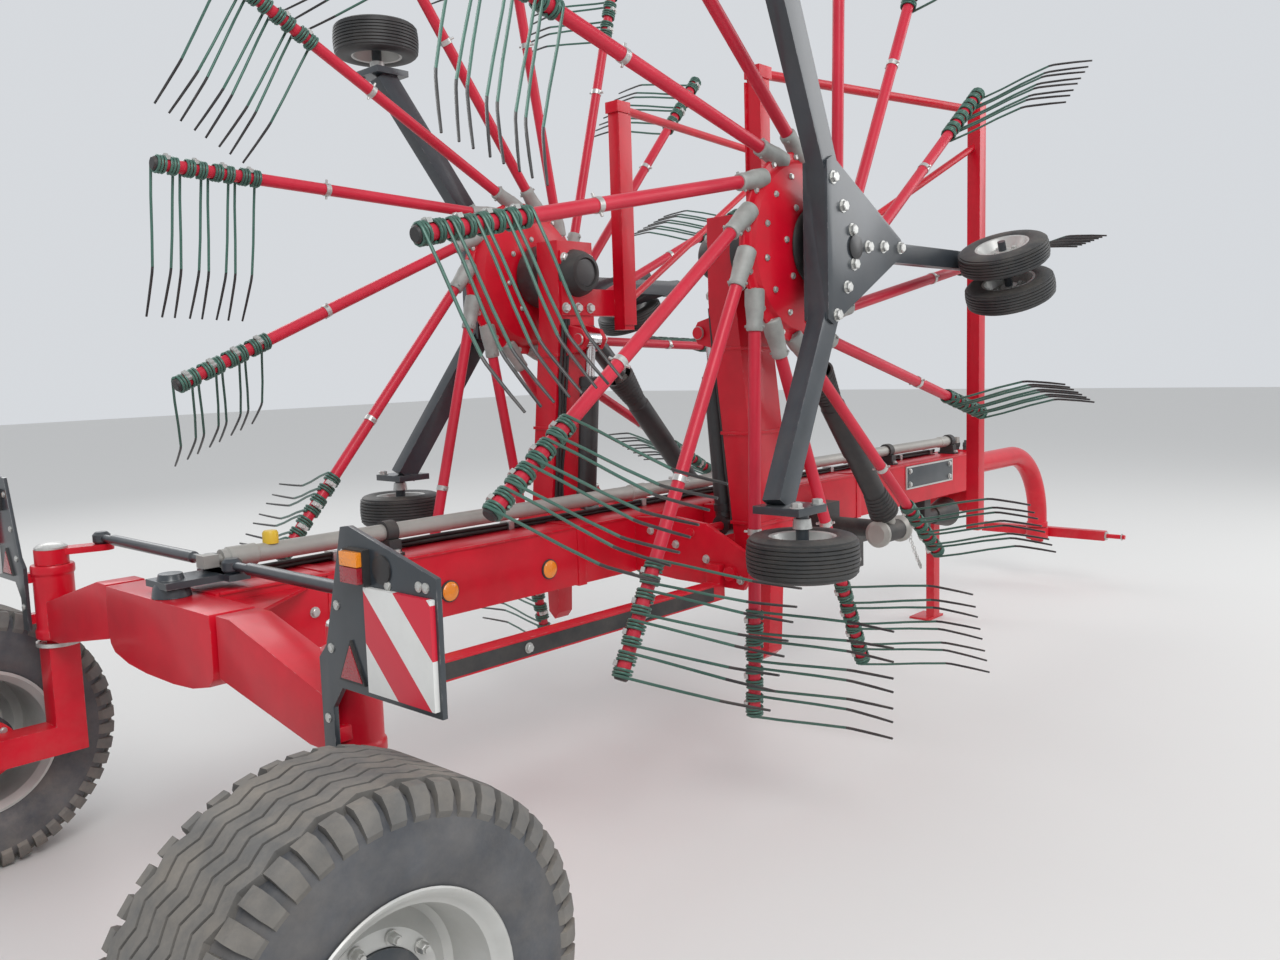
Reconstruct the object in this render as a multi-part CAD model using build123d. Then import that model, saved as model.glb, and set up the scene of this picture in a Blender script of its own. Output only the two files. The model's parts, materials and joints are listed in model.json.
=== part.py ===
from build123d import *
from math import atan2, cos, degrees, pi, radians, sin, sqrt
import os

# Twin rotor hay rake, folded for the road, in millimetres.
# x points forward along the beam, y to the left, z up, and the ground is z = 0.
# The right side is the left side mirrored in the plane y = 0, except for the
# angle at which each rotor happens to stand.

# driving dimensions: chassis
rear_axle_x = -2847.5      # steered wheels' axle, behind the middle of the length
beam_half = 100.0          # half the beam's width
beam_low = 780.0
beam_top = 990.0
beam_rear = 290.0          # distances in x are counted from the rear axle
beam_front = 4860.0
arch_rear = 150.0
arch_low = 750.0
kingpin_x = 220.0
kingpin_y = 840.0
kingpin_r = 35.0
neck_r = 60.0              # round neck from the beam down to the hitch
neck_z = 900.0
neck_bend = 450.0
swivel_x = 6000.0          # upright pin that carries the hitch head
swivel_r = 25.0

# driving dimensions: road wheels
tyre_r = 425.0
tyre_width = 360.0
tyre_seat_r = 215.0        # where the rim carries the tyre
wheel_y = 1130.0
stub_r = 40.0

# driving dimensions: booms and rotors
pivot_y = 550.0            # boom's hinge pin
pivot_z = 820.0
pivot_r = 25.0
hub_x = 2140.0             # rotor's axis, folded
hub_z = 1930.0
drum_r = 310.0
drum_in = 610.0            # inner and outer faces of the rotor's drum
drum_out = 765.0
shaft_r = 50.0
arm_count = 14
arm_y = 700.0              # plane of the tine arms
arm_r = 21.0
arm_offset = 250.0         # the arms are swept: their lines miss the axis by this
arm_end = 1580.0           # distance along the arm's own line
socket_r = 36.0
socket_end = 285.0
tines_per_arm = 4
tine_pitch = 95.0
tine_spread = 72.0         # between the two wires of a double tine
wire = 9.0
tine_upper = 330.0
tine_lower = 170.0
tine_bend = 20.0
coil_r = 33.0

# driving dimensions: lift cylinder
barrel_pin = (370.0, 950.0)
rod_pin = (310.0, 1660.0)
lift_pin_r = 16.0
barrel_r = 40.0
rod_r = 20.0
barrel_length = 560.0

# named clearances
running_fit = 0.2          # a pin in its bore, on the radius
side_gap = 5.0             # between a moving eye and its fork
wheel_gap = 10.0
board_gap = 93.0           # from the top of a road tyre up to the warning board

os.makedirs("parts", exist_ok=True)


def at(x, y, z):
    """A point with x counted from the rear axle."""
    return Vector(rear_axle_x + x, y, z)


def block(x0, x1, y0, y1, z0, z1):
    """A box between two corners, x counted from the rear axle."""
    middle = at((x0 + x1) / 2, (y0 + y1) / 2, (z0 + z1) / 2)
    return Pos(middle) * Box(abs(x1 - x0), abs(y1 - y0), abs(z1 - z0))


def rod_between(p, q, r):
    """A round bar from one point to another."""
    way = q - p
    return Plane(origin=p, z_dir=way) * Cylinder(
        r, way.length, align=(Align.CENTER, Align.CENTER, Align.MIN))


def cone_between(p, q, r0, r1):
    """A round taper from one point to another."""
    way = q - p
    return Plane(origin=p, z_dir=way) * Cone(
        r0, r1, way.length, align=(Align.CENTER, Align.CENTER, Align.MIN))


def ngon(r, n, plane, turn=0.0):
    """A regular polygon face whose corners lie on radius r."""
    corners = []
    for k in range(n):
        a = 2 * pi * (k + turn) / n
        corners.append((r * cos(a), r * sin(a)))
    return plane * make_face(Polyline(*corners, close=True))


def prism_between(p, q, r, n):
    """A bar with n flats whose flats are r from its axis."""
    way = q - p
    plane = Plane(origin=p, z_dir=way)
    return extrude(ngon(r / cos(pi / n), n, plane, 0.5), amount=way.length, dir=way)


def bar_between(p, q, width, depth, side):
    """A rectangular bar: width is measured along the direction side."""
    way = q - p
    plane = Plane(origin=p, x_dir=side, z_dir=way)
    return plane * Box(width, depth, way.length,
                       align=(Align.CENTER, Align.CENTER, Align.MIN))


def plate_yz(x0, x1, corners):
    """A plate across the machine, drawn in y and z, from x0 to x1."""
    plane = Plane(origin=at(x0, 0, 0), x_dir=(0, 1, 0), z_dir=(1, 0, 0))
    face = plane * make_face(Polyline(*corners, close=True))
    return extrude(face, amount=x1 - x0, dir=(1, 0, 0))


def plate_xz(y0, y1, corners):
    """A plate along the machine, drawn in x and z, from y0 to y1."""
    points = [at(x, y0, z) for x, z in corners]
    face = make_face(Polyline(*points, close=True))
    return extrude(face, amount=y1 - y0, dir=(0, 1, 0))


def ring_points(centre, axis, along, radius, n):
    """The n corners of one ring of a wheel shape."""
    plane = Plane(origin=centre + axis * along, z_dir=axis)
    points = []
    for k in range(n):
        a = 2 * pi * k / n
        points.append(plane.from_local_coords(Vector(radius * cos(a), radius * sin(a), 0)))
    return points


def ring_stack(centre, axis, layers, n, hole):
    """A wheel shape of n flats: layers are (distance along the axis, radius)."""
    rings = [ring_points(centre, axis, along, radius, n) for along, radius in layers]
    if hole > 0:
        rings.append(ring_points(centre, axis, layers[-1][0], hole, n))
        rings.append(ring_points(centre, axis, layers[0][0], hole, n))
        rings.append(rings[0])
    faces = []
    for low, high in zip(rings, rings[1:]):
        for k in range(n):
            m = (k + 1) % n
            faces.append(make_face(Polyline(low[k], low[m], high[m], high[k], close=True)).face())
    if hole <= 0:
        faces.append(make_face(Polyline(*rings[0], close=True)).face())
        faces.append(make_face(Polyline(*rings[-1], close=True)).face())
    body = Solid(Shell(faces))
    if body.volume < 0:
        body = Solid(body.wrapped.Reversed())
    return body


def fused(pieces):
    """One solid from pieces that meet or overlap."""
    whole = pieces[0]
    for piece in pieces[1:]:
        whole = whole + piece
    return whole


def gathered(pieces):
    """Several solids of one node, kept apart."""
    solids = []
    for piece in pieces:
        solids.extend(piece.solids())
    return Compound(children=solids)


def save(shape, name):
    """Writes one node."""
    shape.label = name
    export_step(shape, "parts/" + name + ".step")


def save_pair(shape, name):
    """Writes the left node and its mirror image on the right."""
    save_sides(shape, shape, name)


def save_sides(left, right, name):
    """Writes a left node as it is and a right node mirrored."""
    save(left, name + "_left")
    turned = Compound(children=[mirror(s, about=Plane.XZ) for s in right.solids()])
    save(turned, name + "_right")


# main beam: closed box with an end plate, a lug for the stand and a round neck that
# bends down to the hitch head's upright pin
beam = block(beam_rear, beam_front, -beam_half, beam_half, beam_low, beam_top)
end_plate = block(beam_front - 10, beam_front + 20, -beam_half, beam_half, 640, 1000)
bend_x = swivel_x - neck_bend
neck_low = neck_z - neck_bend - 55
neck = rod_between(at(beam_front + 10, 0, neck_z), at(bend_x, 0, neck_z), neck_r)
neck_round = Plane(origin=at(bend_x, 0, neck_z), z_dir=(1, 0, 0)) * Circle(neck_r)
neck = neck + revolve(neck_round, axis=Axis(at(bend_x, 0, neck_z - neck_bend), (0, 1, 0)),
                      revolution_arc=90)
neck = neck + rod_between(at(swivel_x, 0, neck_z - neck_bend), at(swivel_x, 0, neck_low), neck_r)
head_top = neck_low - side_gap
head_low = head_top - 75
swivel_pin = rod_between(at(swivel_x, 0, head_low - 20), at(swivel_x, 0, neck_low), swivel_r)
swivel_cap = rod_between(at(swivel_x, 0, head_low - 20), at(swivel_x, 0, head_low - side_gap), 40)
stand_x = 4770.0
stand_y = 130.0
stand_z = 730.0
stand_lug = block(stand_x - 60, stand_x + 60, 60, beam_half, 690, beam_low)
stand_pin = rod_between(at(stand_x, beam_half, stand_z), at(stand_x, stand_y + 40, stand_z), 15)
main_beam = fused([beam, end_plate, neck, swivel_pin, swivel_cap, stand_lug, stand_pin])
save(main_beam, "main_beam")

# rear arch: cross beam, deeper in the middle, with a kingpin housing at each end
arch_outline = [
    (-kingpin_y - 50, 985), (kingpin_y + 50, 985), (kingpin_y + 50, arch_low), (700, arch_low),
    (300, 770), (-300, 770), (-700, arch_low), (-kingpin_y - 50, arch_low),
]
arch = plate_yz(arch_rear, beam_rear, arch_outline)
for side in (-1, 1):
    top = at(kingpin_x, side * kingpin_y, 985)
    low = at(kingpin_x, side * kingpin_y, arch_low - 15)
    arch = arch + rod_between(low, top, 60)
for side in (-1, 1):
    top = at(kingpin_x, side * kingpin_y, 1000)
    low = at(kingpin_x, side * kingpin_y, 700)
    arch = arch - rod_between(low, top, kingpin_r + running_fit)
save(arch, "rear_arch")

# boom carrier: a pair of plates on each side of the beam and the pins they hold
carrier_x = (1925.0, 2335.0)
plate_thick = 20.0
carrier_outline = [
    (beam_half, 985), (300, 1000), (440, 985), (610, 900), (635, 820), (600, 765),
    (300, 770), (beam_half, 785),
]
carrier_parts = []
for x in carrier_x:
    carrier_parts.append(plate_yz(x, x + plate_thick, carrier_outline))
outer_x = carrier_x[1] + plate_thick
carrier_parts.append(rod_between(at(carrier_x[0] - 15, pivot_y, pivot_z),
                                 at(outer_x + 15, pivot_y, pivot_z), pivot_r))
carrier_parts.append(rod_between(at(carrier_x[0] - 10, *barrel_pin),
                                 at(outer_x + 10, *barrel_pin), lift_pin_r))
carrier_left = fused(carrier_parts)
carrier_right = mirror(carrier_left, about=Plane.XZ)
save(gathered([carrier_left, carrier_right]), "boom_carrier")

# side rails from the arch to the boom carrier
rail = block(beam_rear, carrier_x[0], 460, 520, 725, 785)
hanger = block(beam_rear, beam_rear + 30, 460, 520, 725, 900)
shoe = block(carrier_x[0] - 30, carrier_x[0], 460, 520, 725, 850)
rail_left = fused([rail, hanger, shoe])
save(gathered([rail_left, mirror(rail_left, about=Plane.XZ)]), "side_rails")

# steering tube on the beam and the clamps that hold it
tube_z = 1062.0
tube_r = 30.0
tube_start = 300.0
tube_end = 4800.0
steering_tube = rod_between(at(tube_start, 0, tube_z), at(tube_end, 0, tube_z), tube_r)
clamps = []
for x in (900.0, 2900.0, 4000.0, 4700.0):
    saddle = block(x - 30, x + 30, -50, 50, beam_top, tube_z + 10)
    clamps.append(saddle - rod_between(at(x - 40, 0, tube_z), at(x + 40, 0, tube_z),
                                       tube_r))
save(gathered([steering_tube] + clamps), "steering_tube")

# tie rods: crank on the arch and a rod to each steering lever
lever_x = kingpin_x + 140
lever_y = 800.0
lever_top = 1032.0
crank = block(kingpin_x - 40, lever_x + 50, -95, 95, 1010, lever_top)
crank = crank + rod_between(at(kingpin_x, 0, 985), at(kingpin_x, 0, 1010), 35)
tie_parts = [crank]
for side in (-1, 1):
    inner = at(lever_x, side * 62, lever_top)
    outer = at(lever_x, side * lever_y, lever_top)
    rise = Vector(0, 0, 38)
    ends = rod_between(inner, inner + rise, 28) + rod_between(outer, outer + rise, 28)
    link = rod_between(inner + rise * 0.5, outer + rise * 0.5, 17)
    tie_parts.append(ends + link)
save(gathered(tie_parts), "tie_rods")

# steered knuckles: kingpin, leg, lever, trailing link and stub axle
knuckle_parts = [
    rod_between(at(kingpin_x, kingpin_y, 700), at(kingpin_x, kingpin_y, 1010), kingpin_r),
    rod_between(at(kingpin_x, kingpin_y, arch_low - 25), at(kingpin_x, kingpin_y, arch_low - 15),
                55),
    block(kingpin_x - 45, kingpin_x + 45, kingpin_y - 45, kingpin_y + 45, 380, arch_low - 25),
    block(-45, kingpin_x, kingpin_y - 45, kingpin_y + 45, 380, 470),
    rod_between(at(0, kingpin_y + 45, tyre_r), at(0, wheel_y + 70, tyre_r), stub_r),
    rod_between(at(0, kingpin_y + 45, tyre_r), at(0, kingpin_y + 75, tyre_r), 90),
    rod_between(at(kingpin_x, kingpin_y, 985), at(kingpin_x, kingpin_y, lever_top), 50),
    rod_between(at(lever_x, lever_y, 1012), at(lever_x, lever_y, lever_top), 35),
    bar_between(at(kingpin_x, kingpin_y, 1022), at(lever_x, lever_y, 1022), 20, 70,
                (0, 0, 1)),
]
save_pair(fused(knuckle_parts), "knuckle")

# road tyres and rims
wheel_centre = at(0, wheel_y, tyre_r)
outward = Vector(0, 1, 0)
half = tyre_width / 2
tyre_layers = [
    (-half, 330), (-half + 18, 392), (-half + 55, tyre_r), (half - 55, tyre_r),
    (half - 18, 392), (half, 330),
]
tyre = ring_stack(wheel_centre, outward, tyre_layers, 48, tyre_seat_r)
save_pair(tyre, "tyre")
rim_well = ring_stack(wheel_centre, outward, [(-half + 8, tyre_seat_r), (half - 8, tyre_seat_r)],
                      48, tyre_seat_r - 14)
dish = ring_stack(wheel_centre, outward, [(40, 160), (75, 203)], 48, 0)
hub_barrel = prism_between(at(0, kingpin_y + 75 + side_gap, tyre_r),
                           at(0, wheel_y + 110, tyre_r), 105, 24)
rim = rim_well + dish + hub_barrel
rim = rim - rod_between(at(0, kingpin_y, tyre_r), at(0, wheel_y + 70.3, tyre_r),
                        stub_r + running_fit)
save_pair(rim, "rim")

# central gear case with an outrigger to each drive shaft, and the driveline to the front
elbow_y = 500.0
elbow_z = 800.0
elbow_r = 45.0
case = block(3050, 3450, -180, 180, 560, beam_low)
case = case + block(3060, 3240, -180, -beam_half, beam_low, 900)
case = case + block(3060, 3240, beam_half, 180, beam_low, 900)
for side in (-1, 1):
    case = case + rod_between(at(3150, side * 180, elbow_z), at(3150, side * elbow_y, elbow_z),
                              40)
    case = case + rod_between(at(3040, side * elbow_y, elbow_z),
                              at(3200, side * elbow_y, elbow_z), elbow_r)
driveline = rod_between(at(3450, 0, 660), at(4600, 0, 660), 42)
driveline = driveline + block(4300, 4370, -60, 60, 610, beam_low)
driveline = driveline + cone_between(at(4500, 0, 660), at(4670, 0, 660), 50, 85)
save(gathered([case, driveline]), "gear_train")

# warning posts on the arch's rear: bent plates that carry the boards and the lamps
plate_rear = arch_rear - 12
board_low = 2 * tyre_r + board_gap
post_outline = [
    (850, 780), (892, 780), (892, 880), (930, board_low - 15), (1256, board_low - 15),
    (1256, 1188), (985, 1262), (955, 1258), (880, 1010), (850, 980),
]
post = plate_yz(plate_rear, arch_rear, post_outline)
save(gathered([post, mirror(post, about=Plane.XZ)]), "warning_posts")
board = block(plate_rear - 12, plate_rear, 1041, 1250, board_low, 1150)
save(gathered([board, mirror(board, about=Plane.XZ)]), "warning_boards")
lamp = block(plate_rear - 28, plate_rear, 985, 1052, 1153, 1222)
triangle = plate_yz(plate_rear - 8, plate_rear, [(930, 948), (1020, 948), (975, 1034)])
amber_near = rod_between(at(1050, beam_half, 860), at(1050, beam_half + 8, 860), 30)
amber_mid = rod_between(at(1480, beam_half, 860), at(1480, beam_half + 8, 860), 30)
lamps_left = [lamp, triangle, amber_near, amber_mid]
lamps_right = [mirror(piece, about=Plane.XZ) for piece in lamps_left]
save(gathered(lamps_left + lamps_right), "lamps")

# hitch head: eye on the swivel pin and a cross bar with the lower link pins
link_x = swivel_x + 90
link_z = head_top - 37
link_y = 412.5
link_pin_r = 14.0
head_parts = [
    rod_between(at(swivel_x, 0, head_low), at(swivel_x, 0, head_top), 70),
    block(swivel_x, link_x, -50, 50, link_z - 32, link_z + 32),
    block(link_x - 30, link_x + 30, -link_y, link_y, link_z - 30, link_z + 30),
    rod_between(at(link_x, -link_y - 120, link_z), at(link_x, link_y + 120, link_z), link_pin_r),
]
head = fused(head_parts)
head = head - rod_between(at(swivel_x, 0, head_low - 10), at(swivel_x, 0, head_top + 10),
                          swivel_r + running_fit)
save(head, "hitch_head")

# parking leg: hangs from its pin beside the beam and stands on a plate
leg = block(stand_x - 35, stand_x + 35, stand_y - 25, stand_y + 25, 10, stand_z + 40)
leg = leg + block(stand_x - 90, stand_x + 90, beam_half + 8, stand_y + 105, 0, 12)
leg = leg - rod_between(at(stand_x, stand_y - 60, stand_z), at(stand_x, stand_y + 60, stand_z),
                        15 + running_fit)
save(leg, "parking_leg")

# boom: eye, leaning box, head block, foot, lugs for the lift rod and guard upright
boom_foot_y = pivot_y
boom_top_y = 445.0
boom_half = 60.0
boom_low_x = 2040.0
boom_high_x = 2240.0
lean = [
    (boom_foot_y - boom_half, pivot_z), (boom_foot_y + boom_half, pivot_z),
    (boom_top_y + boom_half, 1760), (boom_top_y - boom_half, 1760),
]
eye_low = carrier_x[0] + plate_thick + side_gap
eye_high = carrier_x[1] - side_gap
boom_parts = [
    plate_yz(boom_low_x, boom_high_x, lean),
    rod_between(at(eye_low, pivot_y, pivot_z), at(eye_high, pivot_y, pivot_z), 60),
    block(boom_low_x, boom_high_x, 385, 505, 1720, 2060),
    plate_yz(2100, 2180, [(505, 820), (595, 820), (580, 500), (545, 470), (520, 500)]),
    block(boom_high_x, 2400, 385, 440, 1760, 1870),
    block(2370, 2430, 330, 390, 1700, 2600),
    block(2370, 2430, 380, 440, 1760, 1870),
]
lug_outline = [(420, 1590), (420, 1730), (300, 1700), (275, 1660), (300, 1620)]
for x0, x1 in ((2080, 2100), (2180, 2200)):
    boom_parts.append(plate_yz(x0, x1, lug_outline))
for x0, x1 in ((2064, 2080), (2200, 2216)):
    boom_parts.append(rod_between(at(x0, *rod_pin), at(x1, *rod_pin), lift_pin_r + 6))
boom = fused(boom_parts)
boom = boom - rod_between(at(1900, pivot_y, pivot_z), at(2400, pivot_y, pivot_z),
                          pivot_r + running_fit)
save_pair(boom, "boom")

# guard: cap on the upright, thin pipe, channel post and strut
post_x = 3730.0
post_y = 610.0
guard_parts = [
    block(2360, 2440, 325, 395, 2600, 2645),
    rod_between(at(2400, 360, 2622), at(post_x, post_y, 2640), 18),
    rod_between(at(2430, 372, 1815), at(post_x - 20, post_y - 5, 2480), 15),
    block(post_x - 30, post_x - 24, post_y - 30, post_y + 30, 735, 2670),
    block(post_x - 30, post_x + 30, post_y - 30, post_y - 24, 735, 2670),
    block(post_x - 30, post_x + 30, post_y + 24, post_y + 30, 735, 2670),
]
guard = fused(guard_parts)
guard = guard - block(2370, 2430, 330, 440, 1700, 2600)
save_pair(guard, "guard")

# rotor head: bearing flange, drive nose and the cap on the inner side
nose_end = at(2520, 520, 1510)
axis_in = at(hub_x, 505, hub_z)
flange = rod_between(axis_in, at(hub_x, drum_in - wheel_gap, hub_z), 130)
nose = rod_between(at(2200, 555, 1865), nose_end, 42)
cap = cone_between(at(hub_x, 385, hub_z), at(hub_x, 325, hub_z), 95, 55)
head_solid = flange + nose
head_solid = head_solid - block(boom_low_x, boom_high_x, 300, 505, 1700, 2060)
save_pair(gathered([head_solid, cap]), "rotor_head")

# undercarriage: shaft through the drum, bolted pair of plates, web, arms, castor carrier
guide_x = 1670.0
guide_drop = 970.0
castor_x = 3260.0
flange_in = drum_out + 20          # the flange runs clear of the turning drum
plates_in = drum_out + 63
plates_out = plates_in + 92
guide_y = plates_in + 187
under_outline = [
    (1980, 2179), (2012, 2196), (2452, 1962), (2480, hub_z), (2452, 2 * hub_z - 1962),
    (2012, 2 * hub_z - 2196), (1980, 2 * hub_z - 2179),
]
under_parts = [
    rod_between(at(hub_x, drum_in - wheel_gap, hub_z), at(hub_x, plates_out - 8, hub_z), shaft_r),
    rod_between(at(hub_x, flange_in, hub_z), at(hub_x, plates_in + 8, hub_z), 95),
    plate_xz(plates_in, plates_in + 10, under_outline),
    plate_xz(plates_out - 8, plates_out, under_outline),
    block(1980, 2062, plates_in + 10, plates_out - 8, 2 * hub_z - 2179, 2179),
    block(hub_x, castor_x, drum_out + 13, plates_in + 2, hub_z - 35, hub_z + 35),
    rod_between(at(castor_x, drum_out + 13, hub_z), at(castor_x, plates_in + 4, hub_z), 42),
    rod_between(at(castor_x, plates_in, hub_z), at(castor_x, plates_in + 47, hub_z), 20),
]
arm_low = [
    bar_between(at(2025, plates_in + 48, 1700), at(1640, guide_y - 67, 1118), 62, 84,
                (0, 1, 0)),
    block(1585, 1735, guide_y - 120, guide_y + 45, 1098, 1122),
    rod_between(at(guide_x, guide_y, 890), at(guide_x, guide_y, 1100), 20),
]
mid_plane = Plane(origin=at(0, 0, hub_z), z_dir=(0, 0, 1))
for piece in arm_low:
    under_parts.append(piece)
    under_parts.append(mirror(piece, about=mid_plane))
undercarriage = fused(under_parts)
save_pair(undercarriage, "undercarriage")

# guide wheels on the undercarriage, low and high
small_r = 172.0
small_half = 66.0
small_face = 140.0
small_layers = [
    (-small_half, small_face), (-small_half + 20, small_r), (small_half - 20, small_r),
    (small_half, small_face),
]
for name, z in (("guide_wheel_low", guide_drop), ("guide_wheel_high", 2 * hub_z - guide_drop)):
    centre = at(guide_x, guide_y, z)
    wheel = ring_stack(centre, Vector(0, 0, 1), small_layers, 32, 0)
    wheel = wheel - rod_between(centre - Vector(0, 0, 120), centre + Vector(0, 0, 120),
                                20 + running_fit)
    save_pair(wheel, name)

# castor: fork that trails behind its pin at its stop, and its twin wheels
castor_angle = 25.0
trail = 150.0
back = Vector(-cos(radians(castor_angle)), 0, -sin(radians(castor_angle)))
across = Vector(-sin(radians(castor_angle)), 0, cos(radians(castor_angle)))
castor_eye = at(castor_x, plates_in + 4 + running_fit, hub_z)
castor_centre = at(castor_x, guide_y, hub_z) + back * trail
fork = rod_between(castor_eye, castor_eye + Vector(0, 38, 0), 38)
fork = fork + bar_between(castor_eye + Vector(0, 24, 0), castor_centre, 40, 60, across)
fork = fork - rod_between(castor_eye - Vector(0, 50, 0), castor_eye + Vector(0, 43.3, 0),
                          20 + running_fit)
fork = fork + rod_between(castor_centre - across * 128, castor_centre + across * 128, 15)
save_pair(fork, "castor_fork")
twins = []
for side in (-1, 1):
    centre = castor_centre + across * (side * 73)
    layers = [(-46, small_face), (-32, small_r), (32, small_r), (46, small_face)]
    twins.append(ring_stack(centre, across, layers, 32, 0))
axle_hole = rod_between(castor_centre - across * 160, castor_centre + across * 160,
                        15 + running_fit)
twins = [tyre_piece - axle_hole for tyre_piece in twins]
save_pair(gathered(twins), "castor_wheels")


def arm_frame(angle):
    """The root point on the arm's line, its direction and its normal, at the left rotor."""
    along = Vector(cos(radians(angle)), 0, sin(radians(angle)))
    across_arm = Vector(-sin(radians(angle)), 0, cos(radians(angle)))
    root = at(hub_x, arm_y, hub_z) - across_arm * arm_offset
    return root, along, across_arm


def tine_roll(angle):
    """How far a cam has turned the tines at this arm, from pointing outward."""
    off = (angle - 165.0 + 180.0) % 360.0 - 180.0
    if abs(off) > 75.0:
        return 15.0
    return 15.0 + 75.0 * (0.5 + 0.5 * cos(radians(180.0 * off / 75.0)))


def drum_with_sockets(phase):
    """The rotor's dished drum with a socket for each arm."""
    outline = [
        (shaft_r + running_fit, drum_in), (270, drum_in), (drum_r, drum_in + 28),
        (drum_r, drum_out), (drum_r - 26, drum_out), (250, drum_out - 22),
        (125, drum_out - 40), (108, drum_out - 68), (shaft_r + running_fit, drum_out - 68),
    ]
    centre = at(hub_x, 0, hub_z)
    points = [centre + Vector(r, y, 0) for r, y in outline]
    profile = make_face(Polyline(*points, close=True))
    drum = revolve(profile, axis=Axis(centre, (0, 1, 0)))
    for k in range(arm_count):
        root, along, _ = arm_frame(phase + 360.0 * k / arm_count)
        socket = prism_between(root + along * 120, root + along * socket_end, socket_r, 12)
        drum = drum + socket
    return drum


def tine_wire():
    """One wire: leaves the coil's side, runs straight and bends once near its end."""
    y0 = coil_r - wire
    y1 = coil_r
    dy = tine_lower * sin(radians(tine_bend))
    dz = tine_lower * cos(radians(tine_bend))
    c = wire * cos(radians(tine_bend))
    s = wire * sin(radians(tine_bend))
    corners = [
        (y0, 12), (y1, 12), (y1, -tine_upper), (y1 + dy, -tine_upper - dz),
        (y1 + dy - c, -tine_upper - dz - s), (y0, -tine_upper - 1.6),
    ]
    plane = Plane(origin=(0, 0, 0), x_dir=(0, 1, 0), z_dir=(1, 0, 0))
    face = plane * make_face(Polyline(*corners, close=True))
    return extrude(face, amount=wire, dir=(1, 0, 0))


def tine_arm():
    """One arm on the x axis: its tube, the coils wound round it and their double tines."""
    bare = arm_end - 5 - tines_per_arm * tine_pitch + (tine_pitch - tine_spread - wire)
    tip = bare + (tines_per_arm - 1) * tine_pitch + tine_spread + wire
    arm = prism_between(Vector(socket_end, 0, 0), Vector(arm_end, 0, 0), arm_r, 10)
    arm = arm + prism_between(Vector(bare, 0, 0), Vector(tip, 0, 0), coil_r, 10)
    one_wire = mirror(tine_wire(), about=Plane.XZ)
    for j in range(tines_per_arm):
        for along in (0.0, tine_spread):
            arm = arm + Pos(bare + j * tine_pitch + along, 0, 0) * one_wire
    return arm


def arm_set(phase):
    """All arms of a rotor, each rolled as its cam sets it."""
    one_arm = tine_arm()
    arms = []
    for k in range(arm_count):
        angle = phase + 360.0 * k / arm_count
        root, along, across_arm = arm_frame(angle)
        roll = radians(tine_roll(angle))
        tine_way = Vector(0, 1, 0) * cos(roll) + across_arm * sin(roll)
        arms.append(Plane(origin=root, x_dir=along, z_dir=tine_way * -1) * one_arm)
    return gathered(arms)


# the two rotors stand at different angles
phase_right = 268.2
phase_left = 280.7
save_sides(drum_with_sockets(phase_left), drum_with_sockets(phase_right), "rotor_drum")
save_sides(arm_set(phase_left), arm_set(phase_right), "rotor_arms")

# lift cylinder: barrel on the carrier's pin, rod to the boom's lugs
foot = at(2140, *barrel_pin)
eye = at(2140, *rod_pin)
way = (eye - foot).normalized()
reach = (eye - foot).length
barrel = rod_between(foot + way * 30, foot + way * barrel_length, barrel_r)
barrel = barrel + rod_between(at(2100, *barrel_pin), at(2180, *barrel_pin), 38)
barrel = barrel - rod_between(at(2000, *barrel_pin), at(2300, *barrel_pin),
                              lift_pin_r + running_fit)
barrel = barrel - rod_between(foot + way * 130, foot + way * (barrel_length + 10),
                              rod_r + running_fit)
save_pair(barrel, "lift_barrel")
rod = rod_between(foot + way * 140, foot + way * (reach - 20), rod_r)
rod = rod + rod_between(at(2103, *rod_pin), at(2177, *rod_pin), 30)
rod = rod - rod_between(at(2090, *rod_pin), at(2190, *rod_pin),
                        lift_pin_r + running_fit)
save_pair(rod, "lift_rod")

# drive shafts: guarded shaft from the elbow of the gear train up to the rotor head
elbow = at(3150, elbow_y, elbow_z)
shaft_way = (nose_end - elbow).normalized()
shaft_long = (nose_end - elbow).length
drive = rod_between(elbow + shaft_way * 10, elbow + shaft_way * 150, 38)
drive = drive + cone_between(elbow + shaft_way * 125, elbow + shaft_way * 240, 64, 46)
drive = drive + rod_between(elbow + shaft_way * 240, elbow + shaft_way * (shaft_long - 150), 46)
drive = drive + cone_between(elbow + shaft_way * (shaft_long - 150),
                             elbow + shaft_way * (shaft_long - 20), 46, 66)
drive = drive + rod_between(elbow + shaft_way * (shaft_long - 60), nose_end, 30)
drive = drive - rod_between(at(2900, elbow_y, elbow_z), at(3300, elbow_y, elbow_z),
                            elbow_r + running_fit)
drive = drive - rod_between(at(3150, 100, elbow_z), at(3150, elbow_y, elbow_z), 40 + side_gap)
drive = drive - nose
save_pair(drive, "drive_shaft")
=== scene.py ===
# %% [markdown]
# # Dressing a folded twin rotor hay rake
# The plain solids come in as a frame that Blender must not move. This lesson covers
# them with finer pieces and finishes, one cell at a time, in metres.

# %% Load the frame
import bpy
import bmesh
import json
from math import cos, pi, radians, sin, sqrt
from mathutils import Matrix, Vector

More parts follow.
